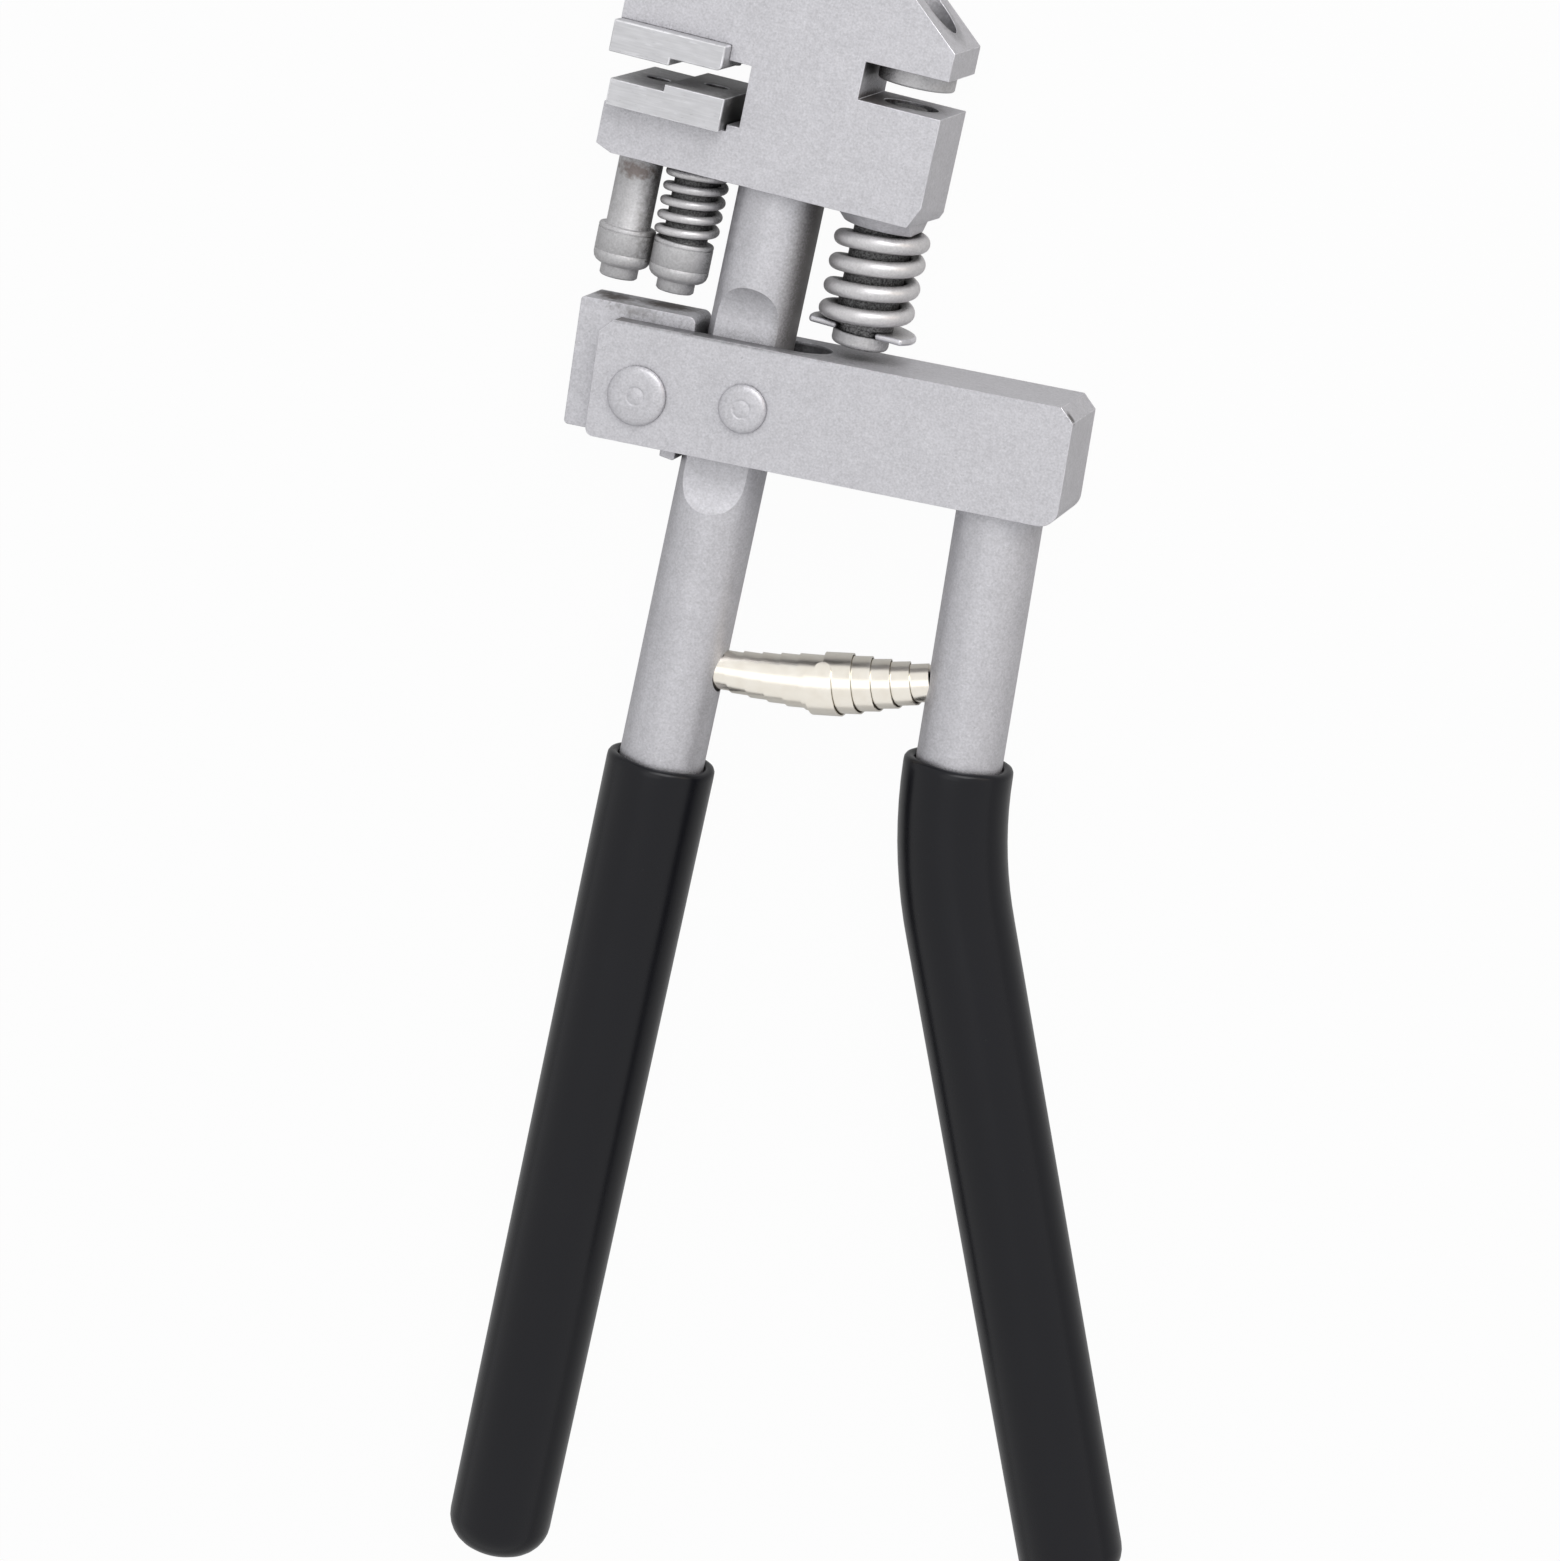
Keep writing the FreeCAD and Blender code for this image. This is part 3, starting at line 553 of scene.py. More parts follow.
def spring_ends():
    """The two ends of the volute spring's axis, from its CAD node."""
    points = [vertex.co for vertex in frame["nodes"]["volute_spring"].data.vertices]
    centre = middle("volute_spring")
    low_x, low_y = mean_place([point for point in points if point.x < centre.x])
    high_x, high_y = mean_place([point for point in points if point.x > centre.x])
    slope = math.atan2(high_y - low_y, high_x - low_x)
    direction = Vector((math.cos(slope), math.sin(slope), 0))
    reach = [(point - centre).dot(direction) for point in points]
    return centre + direction * min(reach), centre + direction * max(reach)


spring_low, spring_high = spring_ends()
spring_axis = (spring_high - spring_low).normalized()
spring_length = (spring_high - spring_low).length / MM
left_strip = strip("volute_left_strip", rise=19.4, narrow=3.6, wide=5.35, start_turn=-0.76)
right_strip = strip("volute_right_strip", rise=19.3, narrow=3.4, wide=6.2, start_turn=-0.611)
right_strip.rotation_euler = (math.pi, 0, 0)
right_strip.location = (0, spring_length * MM, 0)
settle(right_strip)
front = Vector(FRONTWARDS)
frame_turn = Matrix((spring_axis.cross(front), spring_axis, front)).transposed()
for piece in (left_strip, right_strip):
    for vertex in piece.data.vertices:
        vertex.co.x += SAG * MM * math.sin(SAG_ARC * vertex.co.y / (spring_length * MM))
    piece.matrix_world = Matrix.Translation(spring_low) @ frame_turn.to_4x4()
    settle(piece)
    smooth(piece, 40)
    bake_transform(piece)
    slot_of("volute_spring")
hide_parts("volute_spring")
print("volute spring", round(spring_length, 1), "mm long")

# %% [markdown]
# ## The dipped grips
# Each grip is a soft black sleeve: a bore for the rod, a rolled rim, a slight taper outside
# and a closed round end. It is turned once as a straight sleeve. The dip ran down unevenly,
# so the rim rises and falls a little round the rod.

# %% Turn the straight sleeve
GRIP_LENGTH = 163.0
GRIP_RIM = 10.2
GRIP_END = 9.85
ROD = 8.0
END_ROUND = 6.5
STATIONS = 44
BORE_DEPTH = 160.1
BORE_LEAD = 1.6
RIM_WAVE = 0.13
RIM_RIPPLE = 0.08
bore = []
for i in range(STATIONS + 1):
    bore.append((ROD + 0.05, BORE_DEPTH - (BORE_DEPTH - BORE_LEAD) * i / STATIONS))
rim = [(ROD + 0.12, 0.7), (ROD + 0.4, 0.22), (ROD + 0.85, 0.0),
       (GRIP_RIM - 0.8, 0.02), (GRIP_RIM - 0.3, 0.28), (GRIP_RIM - 0.05, 0.75), (GRIP_RIM, 1.5)]
wall_end = GRIP_LENGTH - END_ROUND
wall = []
for i in range(1, STATIONS + 1):
    share = i / STATIONS
    wall.append((GRIP_RIM - (GRIP_RIM - GRIP_END) * share, 1.5 + (wall_end - 1.5) * share))
dome = []
for i in range(1, 9):
    turn = math.pi / 2 * i / 8
    dome.append((GRIP_END - END_ROUND * (1 - math.cos(turn)), wall_end + END_ROUND * math.sin(turn)))
dome.append((GRIP_END - END_ROUND - 2.0, GRIP_LENGTH + 0.05))
sleeve = turned("main_grip_sleeve", bore + rim + wall + dome, corners=96)
for vertex in sleeve.data.vertices:
    if vertex.co.z < 1.0 * MM:
        angle = math.atan2(vertex.co.y, vertex.co.x)
        uneven = RIM_WAVE * math.sin(2 * angle + 0.6) + RIM_RIPPLE * math.sin(5 * angle)
        vertex.co.z += uneven * MM * (1 - vertex.co.z / MM)
print("sleeve", len(sleeve.data.vertices), "points")

# %% [markdown]
# The first sleeve is stood on the main rod as it is. The second is a copy, whose points are
# carried along the lever rod's line, bend and line, each ring square to the rod. It starts a
# little lower.

# %% Pull the sleeves over the rods
LEVER_TILT = math.radians(3.5)
LEVER_ROD_X = 47.9
BEND_CORNER = 74.4
BEND_ANGLE = math.radians(19.4)
BEND_RADIUS = 90.0
GRIP_LEAD = 4.0
RIM_DROP = 3.2


def lever_point(x, y):
    """Point in the lever's own plane, in millimetres from the pivot."""
    return pivot + Matrix.Rotation(LEVER_TILT, 3, "Z") @ Vector((x, y, 0)) * MM


def along_lever(distance):
    """Place and heading angle on the lever rod, a distance below the grip's rim."""
    arc = BEND_RADIUS * BEND_ANGLE
    top = BEND_CORNER - BEND_RADIUS * math.tan(BEND_ANGLE / 2)
    turn = min(max(distance - GRIP_LEAD, 0) / arc, 1) * BEND_ANGLE
    straight = distance - BEND_RADIUS * turn - (GRIP_LEAD if turn else 0)
    x = LEVER_ROD_X + BEND_RADIUS * (1 - math.cos(turn))
    y = -top - BEND_RADIUS * math.sin(turn)
    if turn == 0:
        y += GRIP_LEAD - distance
    elif turn == BEND_ANGLE:
        x += straight * math.sin(turn)
        y -= straight * math.cos(turn)
    return lever_point(x, y), turn + LEVER_TILT


bent = bpy.data.objects.new("lever_grip_sleeve", sleeve.data.copy())
bpy.context.collection.objects.link(bent)
for vertex in bent.data.vertices:
    place, heading = along_lever(RIM_DROP + vertex.co.z / MM * (1 - RIM_DROP / GRIP_LENGTH))
    outwards = Vector((math.cos(heading), math.sin(heading), 0))
    vertex.co = place + outwards * vertex.co.x + Vector(FRONTWARDS) * vertex.co.y
rim_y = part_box("main_grip")[1].y
stand_at(sleeve, Vector((rod_axis.x, rim_y, rod_axis.z)), (0, -1, 0))
for piece, node in ((sleeve, "main_grip"), (bent, "lever_grip")):
    smooth(piece, 45)
    stand_for(piece, node)
print("grips", len(sleeve.data.polygons), "faces each")

# %% [markdown]
# ## Shader expressions
# A material is easier to read as sums than as boxes and wires. This small class wraps a
# socket, so that plus, minus and times between sockets add the Math nodes by themselves.
# The Nodes class makes every other kind of node in one way, in any tree.

# %% Sockets as Python values
class Value:
    """An output socket of a node tree."""

    def __init__(self, nodes, socket):
        self.nodes = nodes
        self.socket = socket

    def combine(self, operation, first, second):
        return self.nodes.node("ShaderNodeMath", {"operation": operation}, {0: first, 1: second})

    def __add__(self, other):
        return self.combine("ADD", self, other)

    __radd__ = __add__

    def __mul__(self, other):
        return self.combine("MULTIPLY", self, other)

    __rmul__ = __mul__

    def __sub__(self, other):
        return self.combine("SUBTRACT", self, other)

    def __rsub__(self, other):
        return self.combine("SUBTRACT", other, self)


class Nodes:
    """One node tree, whose nodes are made by node() and by expressions on Values."""

    def __init__(self, tree):
        self.tree = tree

    def node(self, kind, settings, sockets, output=0):
        made = self.tree.nodes.new(kind)
        for name, value in settings.items():
            setattr(made, name, value)
        for name, value in sockets.items():
            if isinstance(value, Value):
                self.tree.links.new(value.socket, made.inputs[name])
            else:
                made.inputs[name].default_value = value
        return Value(self, made.outputs[output])


# %% [markdown]
# A material needs a few things again and again: a noise of a real size, a soft threshold, a
# blend of two colours, painted shade in the corners and a mark at a place. The Finish class holds them.
# It reads Object coordinates, and every piece stands at the origin, so a place in it is the
# same as a place on the tool.

# %% What a material needs
# Painted shade: a near-black colour laid in hollows and corners, within a reach in millimetres
PAINTED_SHADE = (0.02, 0.019, 0.018, 1)
PAINTED_SHADE_REACH = 6
PAINTED_SHADE_DARKNESS = 0.8


class Finish(Nodes):
    """One material, on its piece's own Object coordinates."""

    def __init__(self, name):
        self.material = bpy.data.materials.new(name)
        self.material.use_nodes = True
        super().__init__(self.material.node_tree)
        self.surface = self.tree.nodes["Principled BSDF"]
        self.place = self.node("ShaderNodeTexCoord", {}, {}, "Object")

    def set(self, name, value):
        if isinstance(value, Value):
            self.tree.links.new(value.socket, self.surface.inputs[name])
        else:
            self.surface.inputs[name].default_value = value

    def noise(self, size, detail=2.0, stretch=None):
        """Cloudy pattern from 0 to 1, with patches of the given size in metres."""
        place = self.place
        if stretch:
            place = self.node("ShaderNodeMapping", {}, {"Vector": place, "Scale": stretch})
        return self.node("ShaderNodeTexNoise", {}, {"Vector": place, "Scale": 1 / size, "Detail": detail})

    def ramp(self, factor, low, high):
        """0 below low, 1 above high, and a straight slope between them."""
        return self.node("ShaderNodeMapRange", {"clamp": True},
                         {"Value": factor, "From Min": low, "From Max": high})

    def mix(self, factor, first, second):
        """Blend of two colours."""
        return self.node("ShaderNodeMix", {"data_type": "RGBA"}, {0: factor, 6: first, 7: second}, 2)

    def bump(self, height, distance, strength):
        """Normal that is tilted by a height."""
        return self.node("ShaderNodeBump", {},
                         {"Height": height, "Distance": distance, "Strength": strength})

    def painted_shade(self, colour):
        """Painted shade: darkens a colour where other steel stands close, with a speckled limit."""
        open_air = self.node("ShaderNodeAmbientOcclusion", {"samples": 6},
                             {"Distance": PAINTED_SHADE_REACH * MM}, "AO")
        speckled = open_air + 0.8 * self.noise(0.35 * MM) - 0.4
        hidden = 1 - self.ramp(speckled, 0.1, 0.52)
        return self.mix(hidden * PAINTED_SHADE_DARKNESS, colour, PAINTED_SHADE)

    def coat(self, colour):
        """Sets the base colour and keeps it, so that a later mark can go over it."""
        self.colour = colour
        self.set("Base Color", colour)

    def along(self, direction):
        """Distance of the surface from the origin along a direction."""
        return self.node("ShaderNodeVectorMath", {"operation": "DOT_PRODUCT"},
                         {0: self.place, 1: direction}, "Value")

    def beyond(self, direction, low, high):
        """0 below a height in millimetres along a direction, 1 above another."""
        return self.ramp(self.along(direction), low * MM, high * MM)

    def stain(self, place, reach, colour, strength, ragged=1.6):
        """Mark with a ragged limit round a place; place and reach are millimetres in X, Y and Z."""
        local = self.node("ShaderNodeMapping", {}, {
            "Vector": self.place, "Scale": [1 / (r * MM) for r in reach],
            "Location": [-p / r for p, r in zip(place, reach)]})
        distance = self.node("ShaderNodeVectorMath", {"operation": "LENGTH"}, {0: local}, "Value")
        limit = distance + ragged * (self.noise(0.9 * MM, detail=3.0) - 0.5)
        mask = 1 - self.ramp(limit, 0.35, 0.95)
        self.coat(self.mix(mask * strength, self.colour, colour + (1,)))


def shade(colour, level):
    """A colour made lighter or darker, with its alpha."""
    return tuple(channel * level for channel in colour) + (1,)


# %% [markdown]
# ## Blasted steel
# The head, lever and bars were blasted to a fine dull grain: no direction, no mirror, just a
# soft grey. Three noises do it: specks of just under half a millimetre, a mottling of about
# one, and clouds of six. Two thresholds on noises of half a millimetre add the few dark pits
# and the bright points, which are painted glints.
# Painted shade darkens the steel deep in the throats and between the springs and their rods:
# the Ambient Occlusion node finds where other steel stands close, and the limit is speckled.

# %% Blasted steel
def blasted_steel(name, colour, grain=0.14, roughness=0.4, metal=0.5):
    finish = Finish(name)
    specks = finish.noise(0.42 * MM, detail=4.0)
    mottle = finish.noise(1.1 * MM)
    clouds = finish.noise(6 * MM)
    light = finish.ramp(specks * 0.6 + mottle * 0.25 + clouds * 0.15, 0.36, 0.64)
    pits = finish.ramp(finish.noise(0.55 * MM), 0.68, 0.74)
    # Painted glints: sparse bright points in the colour
    points = finish.ramp(finish.noise(0.5 * MM, detail=1.0), 0.68, 0.74)
    body = finish.mix(light, shade(colour, 1 - grain), shade(colour, 1 + grain))
    body = finish.mix(pits * 0.35, body, shade(colour, 0.5))
    finish.coat(finish.painted_shade(finish.mix(points * 0.4, body, shade(colour, 1.35))))
    finish.set("Roughness", roughness + 0.1 * specks)
    finish.set("Metallic", metal)
    finish.set("Normal", finish.bump(specks, 0.02 * MM, 0.6))
    return finish


# %% [markdown]
# ## Worn and highlit edges
# Where the tool is handled, its edges have lost the dull grain and show brighter steel, and
# the same lighter colour is a painted highlight along each edge. The rubbing isn't even, so a
# slow noise lets the blasted grey through in places.

# %% Worn and highlit edges
def worn_highlit_edge(name, colour, wear_and_highlight):
    finish = Finish(name)
    uneven = finish.ramp(finish.noise(3.5 * MM, detail=3.0), 0.4, 0.6)
    nicks = finish.ramp(finish.noise(0.7 * MM), 0.64, 0.7)
    body = finish.mix(uneven, colour + (1,), shade(colour, wear_and_highlight))
    finish.coat(finish.painted_shade(finish.mix(nicks * 0.3, body, shade(colour, 0.6))))
    finish.set("Roughness", 0.42 - 0.14 * uneven)
    finish.set("Metallic", 0.6)
    return finish


# %% [markdown]
# ## Ground steel
# The dies are ground after hardening, which leaves straight fine lines along their length
# and a few light scuffs. A noise stretched along X and squeezed across it gives the lines.

# %% Ground steel
def ground_steel(name, colour):
    finish = Finish(name)
    lines = finish.noise(0.3 * MM, detail=3.0, stretch=(0.06, 1, 1))
    mottle = finish.noise(1.2 * MM, stretch=(0.4, 1, 1))
    scuffs = finish.ramp(finish.noise(0.7 * MM, detail=3.0, stretch=(0.2, 1, 1)), 0.62, 0.7)
    dents = finish.ramp(finish.noise(0.6 * MM, stretch=(0.5, 1, 1)), 0.68, 0.74)
    light = finish.ramp(lines * 0.6 + mottle * 0.4, 0.36, 0.64)
    body = finish.mix(light, shade(colour, 0.9), shade(colour, 1.06))
    body = finish.mix(scuffs * 0.5, body, shade(colour, 1.25))
    finish.coat(finish.painted_shade(finish.mix(dents * 0.4, body, shade(colour, 0.6))))
    finish.set("Roughness", 0.34 + 0.14 * lines)
    finish.set("Metallic", 0.55)
    finish.set("Normal", finish.bump(lines, 0.02 * MM, 0.5))
    return finish


# %% [markdown]
# ## Nickel strip and black dip
# The handle spring is bright strip with a warm tint, so it is all metal and nearly a mirror,
# with a slow haze. The grips are soft black plastic: very dark, with a dull sheen, a slight
# swell in the surface and a few specks of dust.

# %% Nickel strip and black dip
def nickel_strip(name):
    finish = Finish(name)
    haze = finish.noise(2.5 * MM, detail=2.0)
    finish.coat(finish.mix(haze, (0.82, 0.765, 0.67, 1), (0.92, 0.885, 0.815, 1)))
    finish.set("Roughness", 0.2 + 0.08 * haze)
    finish.set("Metallic", 1.0)
    return finish


def dipped_black(name):
    finish = Finish(name)
    swell = finish.noise(9 * MM, detail=1.0)
    dust = finish.ramp(finish.noise(0.8 * MM, detail=4.0), 0.72, 0.8)
    finish.coat(finish.mix(dust * 0.4, (0.006, 0.0062, 0.0088, 1), (0.035, 0.035, 0.037, 1)))
    finish.set("Roughness", 0.22 + 0.08 * swell)
    finish.set("Specular IOR Level", 0.26)
    finish.set("Normal", finish.bump(swell, 0.2 * MM, 0.25))
    return finish


# %% [markdown]
# ## Marks of use and painted shade
# Some pieces have marks of their own, real stains and painted shade, and each mark is laid over the steel at its
# own place.
# The limit of a smear is ragged, and that of a shaded hollow is nearly smooth. A share keeps
# a mark off the faces beside it, because a place alone would reach round an edge. The pusher
# carries brown spots on its top, where the push rods press, and a grey smear under them.

# %% Steels and dirt, and the pusher's spots
STEEL = (0.565, 0.56, 0.59)
TOOL_STEEL = (0.54, 0.535, 0.545)
RUST = (0.13, 0.07, 0.045)
OLD_OIL = (0.035, 0.015, 0.008)
# The grey-brown below is real grease on the pusher and the outer push rod and painted shade elsewhere; the near
# black after it is painted shade
GREASE_AND_SHADE = (0.12, 0.11, 0.10)
SHADE_BLACK = (0.008, 0.008, 0.008)
pusher_steel = blasted_steel("Pusher steel", STEEL)
pusher_steel.stain((-69.4, 84.0, 14.2), (4.4, 4.0, 5.6), OLD_OIL, 0.97, ragged=0.9)
pusher_steel.stain((-72.2, 84.0, 11.6), (3.4, 4.0, 3.6), OLD_OIL, 0.8, ragged=1.0)
pusher_steel.stain((-60.0, 83.6, 12.2), (7.4, 4.0, 5.2), OLD_OIL, 0.97, ragged=0.9)
pusher_steel.stain((-64.5, 82.5, 18.4), (7.0, 1.6, 2.0), GREASE_AND_SHADE, 0.5)
print("pusher steel", len(pusher_steel.tree.nodes), "nodes")

# %% [markdown]
# The push rods' studs end deep in the lower die's two holes, and the holes are painted black
# as shade. The die's right end faces the throat's wall and gets a near-black painted shade too,
# and a lighter painted shade lies between the dies. Both keep off the front faces, which are ground bright.

# %% Painted shade in the dies' holes and between the dies
DIE_HOLES = ((-70.06, 122.2, 14.0), (-59.06, 123.4, 14.0))
dies = ground_steel("Ground steel", (0.58, 0.58, 0.60))
for place in DIE_HOLES:
    dies.stain(place, (4.8, 3.4, 4.8), SHADE_BLACK, 0.97, ragged=0.3)
die_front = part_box("lower_joggle_die")[1].z / MM
behind_front = 1 - dies.beyond(FRONTWARDS, die_front - 0.8, die_front - 0.4)
dies.stain((-53.6, 121.0, 18.0), (4.0, 8.0, 24.0), SHADE_BLACK, 0.8 * behind_front, ragged=0.6)
dies.stain((-64.5, 125.0, 12.0), (30.0, 3.0, 30.0), GREASE_AND_SHADE, 0.35 * behind_front)
print("dies' front at", round(die_front, 2), "mm")

# %% [markdown]
# The head gets painted shade inside its punch throat: near black on the ceiling beside the die,
# dark brown on the floor, and black in the well and in the hole above, where the punched slugs
# come out. All of it stays inside, behind the front face and left of the throat's mouth.

# %% Painted shade in the head's throat
head_steel = blasted_steel("Head steel", STEEL)
head_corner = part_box("head_block")[1] / MM
behind_face = 1 - head_steel.beyond(FRONTWARDS, head_corner.z - 0.7, head_corner.z - 0.2)
left_of_mouth = 1 - head_steel.beyond(RIGHTWARDS, -16.0, -15.6)
inside = behind_face * left_of_mouth
head_steel.stain((-30.2, 137.0, 18.0), (8.0, 4.5, 14.0), SHADE_BLACK, 0.85 * inside, ragged=0.6)
head_steel.stain((-29.0, 130.3, 17.0), (9.0, 1.5, 16.0), (0.05, 0.035, 0.03), 0.85 * inside, ragged=0.8)
head_steel.stain((-23.2, 127.4, 14.0), (11.0, 4.2, 11.0), SHADE_BLACK, 0.97 * inside, ragged=0.3)
head_steel.stain((-23.2, 143.0, 14.0), (8.0, 10.0, 8.0), SHADE_BLACK, 0.9 * inside, ragged=0.3)
print("head's front at", round(head_corner.z, 2), "mm")

# %% [markdown]
# The lever's slot is painted black as shade round the main rod, and painted shade also lies over
# the narrow wall in front of the rod and over the left corner. The lever's top is tilted, so the
# height of the top is measured along the lever's own upright. A knock has left a nick on the
# right front corner.

# %% Painted shade in the lever's slot and beside it
LEVER_TOP = 11.4
lever_steel = blasted_steel("Lever steel", STEEL)
lever_steel.stain((19.3, 84.3, 22.7), (1.7, 1.7, 1.5), (0.05, 0.045, 0.04), 0.9, ragged=0.8)
up = Matrix.Rotation(LEVER_TILT, 3, "Z") @ Vector(HEADWARDS)
top_height = pivot.dot(up) / MM + LEVER_TOP
on_top = lever_steel.beyond(up, top_height - 0.6, top_height - 0.2)
lever_back, lever_front = (corner.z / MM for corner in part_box("lever_block"))
past_back_wall = lever_steel.beyond(FRONTWARDS, lever_back + 1, lever_back + 2)
past_front_wall = lever_steel.beyond(FRONTWARDS, lever_front - 3, lever_front - 2)
in_slot = (1 - on_top) * past_back_wall * (1 - past_front_wall)
lever_steel.stain((-36.2, 78.0, 14.0), (12.0, 30.0, 13.0), SHADE_BLACK, 0.95 * in_slot, ragged=0.3)
lever_steel.stain((-50.0, 82.0, 20.0), (38.0, 4.0, 6.5), SHADE_BLACK, 0.75 * on_top, ragged=0.6)
behind_wall_face = 1 - lever_steel.beyond(FRONTWARDS, lever_front - 0.6, lever_front - 0.2)
lever_steel.stain((-67.0, 79.6, 21.0), (5.5, 5.0, 8.0), GREASE_AND_SHADE, 0.7 * behind_wall_face, ragged=0.5)
print("lever from", round(lever_back, 2), "to", round(lever_front, 2), "mm, top at", round(top_height, 2))

# %% [markdown]
# The main rod gets painted shade on the right, where it faces the punch's spring. The dark begins
# a few millimetres right of the rod's axis, with a speckled limit, and ends at the lever.

# %% Painted shade on the main rod's right side
SHADE_BEGINS = 5.4
SHADE_FULL = 8.6
main_rod_steel = blasted_steel("Main rod steel", STEEL)
speckled_x = main_rod_steel.along(RIGHTWARDS) + 2.4 * MM * main_rod_steel.noise(0.4 * MM)
right_side = main_rod_steel.ramp(speckled_x, rod_axis.x + SHADE_BEGINS * MM, rod_axis.x + SHADE_FULL * MM)
near_head = main_rod_steel.beyond(HEADWARDS, 76.0, 84.0)
right_shade = 0.8 * right_side * near_head
main_rod_steel.coat(main_rod_steel.mix(right_shade, main_rod_steel.colour, GREASE_AND_SHADE + (1,)))
print("main rod steel", len(main_rod_steel.tree.nodes), "nodes")

# %% [markdown]
# Inside a spring the punch and the inner push rod are dark, partly their black oxide and partly
# painted shade, and bright below the spring. The outer push rod gets painted shade only where it
# enters the die, and carries a rusty smear and a greasy streak.

# %% The rods inside the springs
def stem_steel(name, height, broken):
    """Tool steel that is dark above a height, partly black oxide and partly painted shade; broken is how far a
    fine noise breaks the dark up.
    """
    finish = blasted_steel(name, TOOL_STEEL, roughness=0.46, metal=0.35)
    above = finish.ramp(finish.along(HEADWARDS), height - 0.2 * MM, height + 0.2 * MM)
    uneven = finish.ramp(finish.noise(0.35 * MM), 0.25, 0.6)
    finish.coat(finish.mix(above * (1 - broken * uneven), finish.colour, SHADE_BLACK + (1,)))
    return finish


clip_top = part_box("punch_cross_pin")[1].y
inner_collar_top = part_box("push_rod_inner")[0].y + COLLAR_TOP * MM
die_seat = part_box("lower_joggle_die")[0].y
punch_steel = stem_steel("Punch steel", clip_top - 1.3 * MM, 0.42)
inner_rod_steel = stem_steel("Inner push rod steel", inner_collar_top, 0.3)
outer_rod_steel = stem_steel("Outer push rod steel", die_seat + 0.4 * MM, 0.0)
outer_rod_steel.stain((-69.6, 107.2, 18.0), (5.0, 2.0, 5.0), RUST, 0.6)
outer_rod_steel.stain((-65.0, 102.0, 16.0), (3.0, 14.0, 8.0), GREASE_AND_SHADE, 0.6)
# Heights above which the dark, partly painted shade, begins
print("soot above", [round(height / MM, 1) for height in (clip_top, inner_collar_top, die_seat)], "mm")

# %% [markdown]
# The other pieces share a few plain steels. Each eased piece has two materials, the second one
# for the bevel's faces. The pieces that are never rubbed have the same one twice.

# %% Give every piece its finish
steel = blasted_steel("Blasted steel", STEEL).material
button_steel = blasted_steel("Die steel", TOOL_STEEL).material
wire = blasted_steel("Spring wire", (0.62, 0.61, 0.62), grain=0.1, roughness=0.34,
                     metal=0.55).material
fastener = blasted_steel("Fastener steel", (0.52, 0.52, 0.53), grain=0.06, roughness=0.34,
                         metal=0.8).material
black = dipped_black("Dipped black").material
nickel = nickel_strip("Nickel strip").material
# Edge materials: lighter for wear and as a painted highlight
worn_highlit_steel = worn_highlit_edge("Worn and highlit steel edge", STEEL, 1.3).material
worn_highlit_die = worn_highlit_edge("Worn and highlit die edge", (0.62, 0.62, 0.64), 1.35).material
FINISHES = {
    "head_block": (head_steel.material, worn_highlit_steel),
    "upper_joggle_die": (dies.material, worn_highlit_die),
    "lower_joggle_die": (dies.material, worn_highlit_die),
    "push_rod_outer": (outer_rod_steel.material,),
    "push_rod_inner": (inner_rod_steel.material,),
    "joggle_return_spring": (wire,),
    "punch_die_button": (button_steel, button_steel),
    "punch_guide_bush": (steel, worn_highlit_steel),
    "punch_pin": (punch_steel.material, punch_steel.material),
    "punch_cross_pin": (wire, worn_highlit_steel),
    "punch_return_spring": (wire,),
    "main_rod": (main_rod_steel.material, worn_highlit_steel),
    "main_grip": (black,),
    "lever_grip": (black,),
    "head_washer": (fastener, fastener),
    "head_nut": (fastener, fastener),
    "lever_block": (lever_steel.material, worn_highlit_steel),
    "lever_rod": (steel, worn_highlit_steel),
    "pivot_rivet": (steel,),
    "pusher_block": (pusher_steel.material, pusher_steel.material),
    "pusher_rivet": (steel,),
}


def paint(piece, materials):
    """Fills the slots that the bevel left, or adds them."""
    slots = piece.data.materials
    for i, material in enumerate(materials):
        if i < len(slots):
            slots[i] = material
        else:
            slots.append(material)


for node, materials in FINISHES.items():
    paint(pieces[node], materials)
for node in ("upper_die_screw_outer", "upper_die_screw_inner"):
    paint(frame["nodes"][node], (fastener,))
for piece in (left_strip, right_strip):
    paint(piece, (nickel,))
print("materials", len(bpy.data.materials))

# %% [markdown]
# ## Floor and light
# The photograph is a catalogue cut-out on white. The round bars show what stood about the
# tool: they are even and bright up to the sides and then turn darker, so a bright tent stood
# over a duller table. Here the world is the tent, two soft boxes stand in its top, and a
# small warm one low on the right gives the side faces their slightly yellow grey. The floor
# is pale; the camera sees it as nearly white, the metal sees some of that, and it keeps a
# soft shadow under the tool.

# %% Floor and world
WORLD_LIGHT = 0.42


def seen_by(nodes, camera_share, metal_share):
    """How far a ray sees the bright backdrop: camera rays, and rays from metal or glass."""
    rays = nodes.tree.nodes.new("ShaderNodeLightPath")
    seen = Value(nodes, rays.outputs["Is Camera Ray"]) * camera_share
    for kind in ("Is Glossy Ray", "Is Transmission Ray"):
        seen = seen + Value(nodes, rays.outputs[kind]) * metal_share
    return seen


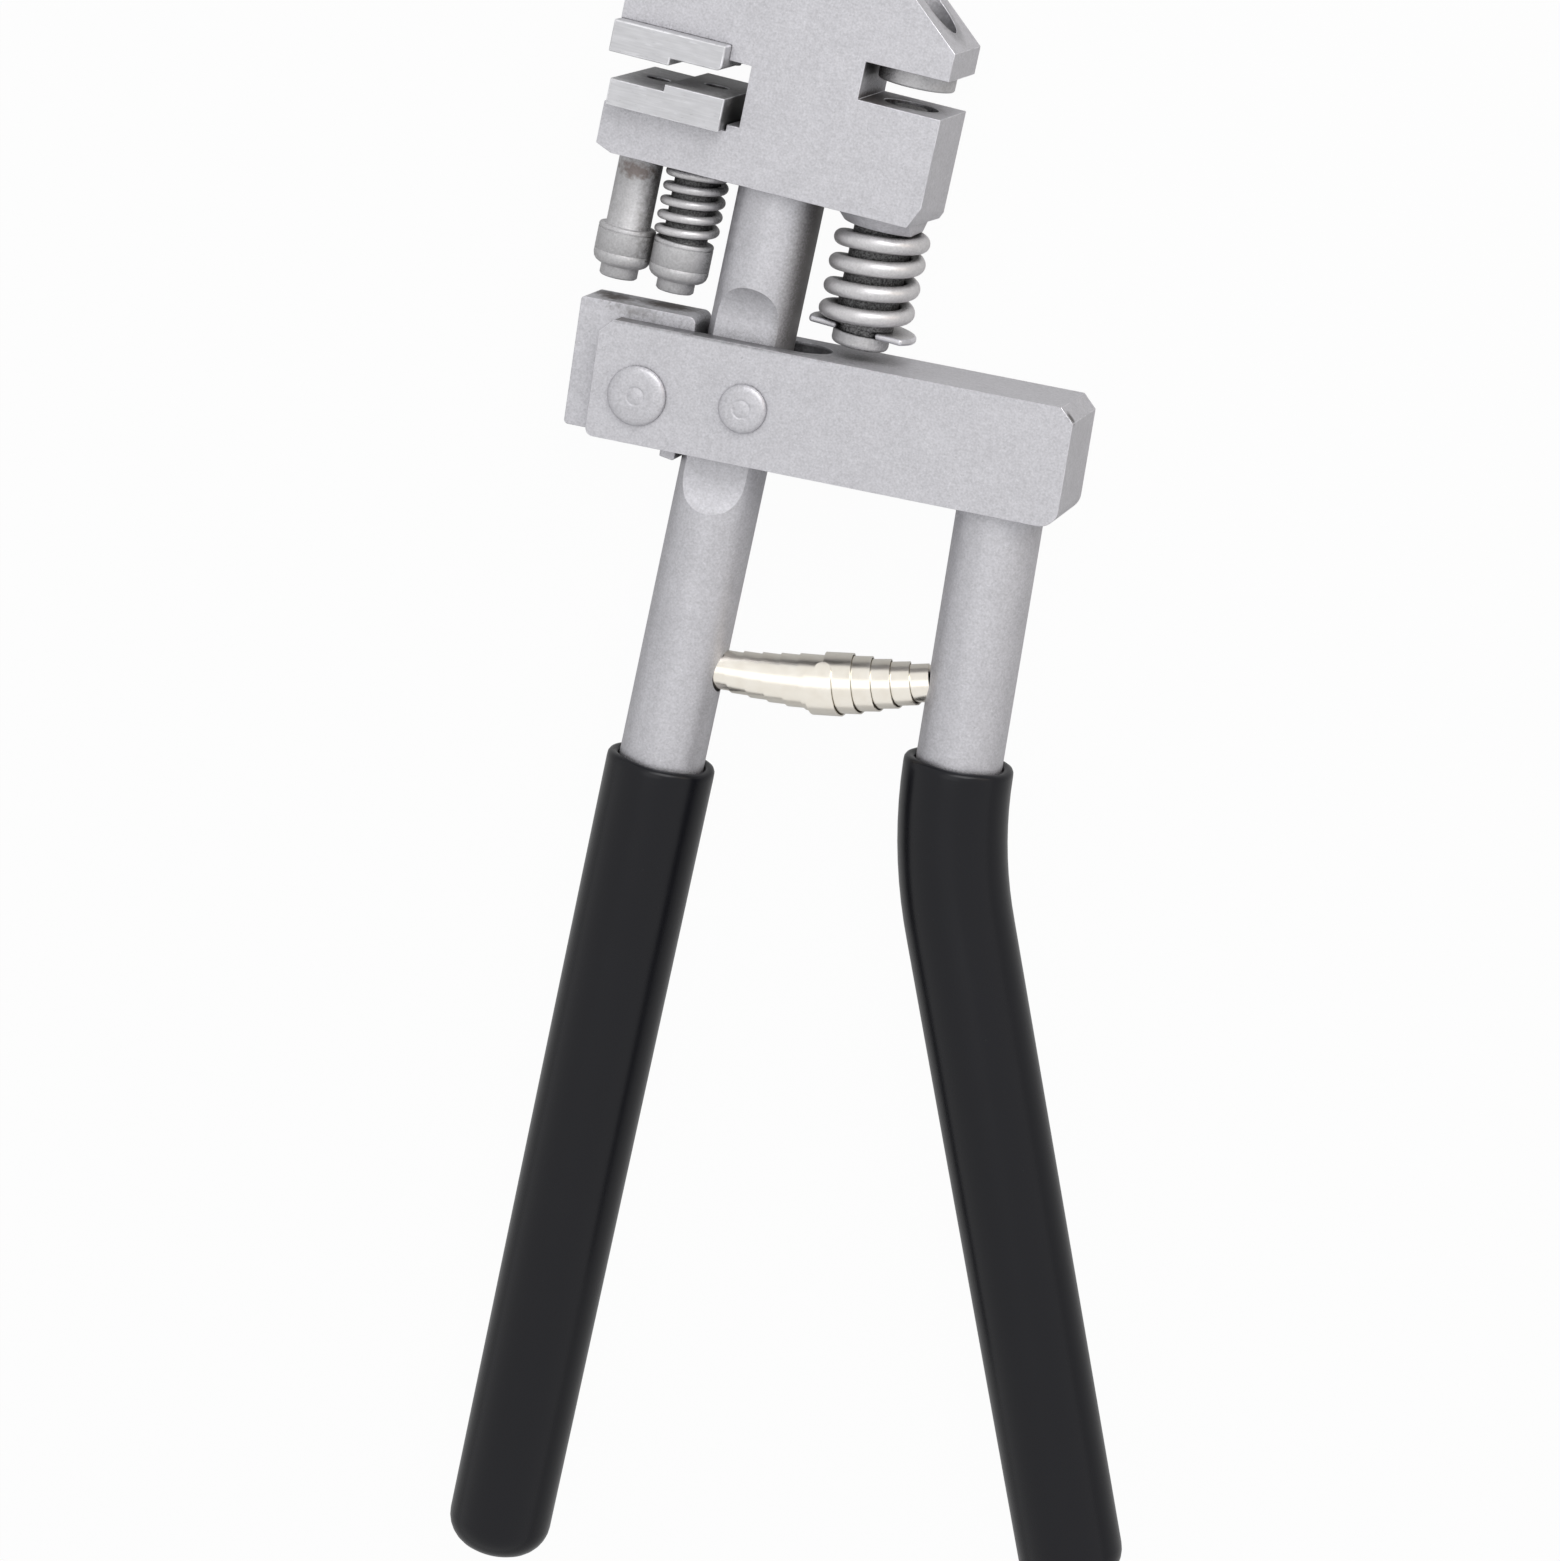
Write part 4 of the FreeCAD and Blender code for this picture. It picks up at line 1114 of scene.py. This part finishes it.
deselect()
bpy.ops.mesh.primitive_plane_add(size=6, location=(0, 0, -0.5 * MM))
floor = bpy.context.object
floor.name = "pale_floor"
floor_finish = Finish("Pale floor")
floor_finish.set("Base Color", (0.5, 0.5, 0.5, 1))
floor_finish.set("Roughness", 0.9)
glow = floor_finish.node("ShaderNodeEmission", {}, {"Color": (1, 1, 1, 1), "Strength": 1.0})
plain = Value(floor_finish, floor_finish.surface.outputs[0])
mixed = floor_finish.node("ShaderNodeMixShader", {},
                          {0: seen_by(floor_finish, camera_share=0.97, metal_share=0.3), 1: plain, 2: glow})
floor_finish.tree.links.new(mixed.socket, floor_finish.tree.nodes["Material Output"].inputs["Surface"])
floor.data.materials.append(floor_finish.material)

world = bpy.data.worlds.new("Studio")
bpy.context.scene.world = world
world.use_nodes = True
tent = Nodes(world.node_tree)
backdrop = world.node_tree.nodes["Background"]
backdrop.inputs["Color"].default_value = (1, 1, 1, 1)
brightness = WORLD_LIGHT + (1 - WORLD_LIGHT) * seen_by(tent, camera_share=1.0, metal_share=0.9)
world.node_tree.links.new(brightness.socket, backdrop.inputs["Strength"])
print("world light", WORLD_LIGHT)

# %% [markdown]
# The two soft boxes stand beyond the head and above, so that the bars keep a bright middle.
# The warm card is weak: it only tints the faces on the right.

# %% Lamps
def soft_box(name, place, power, size, colour=(1, 1, 1)):
    """Square area lamp that looks at the middle of the tool."""
    lamp_data = bpy.data.lights.new(name, "AREA")
    lamp_data.energy = power
    lamp_data.size = size
    lamp_data.color = colour
    lamp = bpy.data.objects.new(name, lamp_data)
    bpy.context.collection.objects.link(lamp)
    lamp.location = place
    lamp.rotation_euler = (-Vector(place)).to_track_quat("-Z", "Y").to_euler()


soft_box("Key soft box", (0.35, 1.0, 0.85), power=9.6, size=0.9)
soft_box("Top soft box", (-0.05, 0.25, 1.4), power=1.8, size=0.9)
soft_box("Warm side card", (0.95, 0.75, 0.3), power=1.1, size=0.6, colour=(1.0, 0.8, 0.6))
bpy.context.scene.view_settings.view_transform = "Standard"
print("lamps", len(bpy.data.lights))
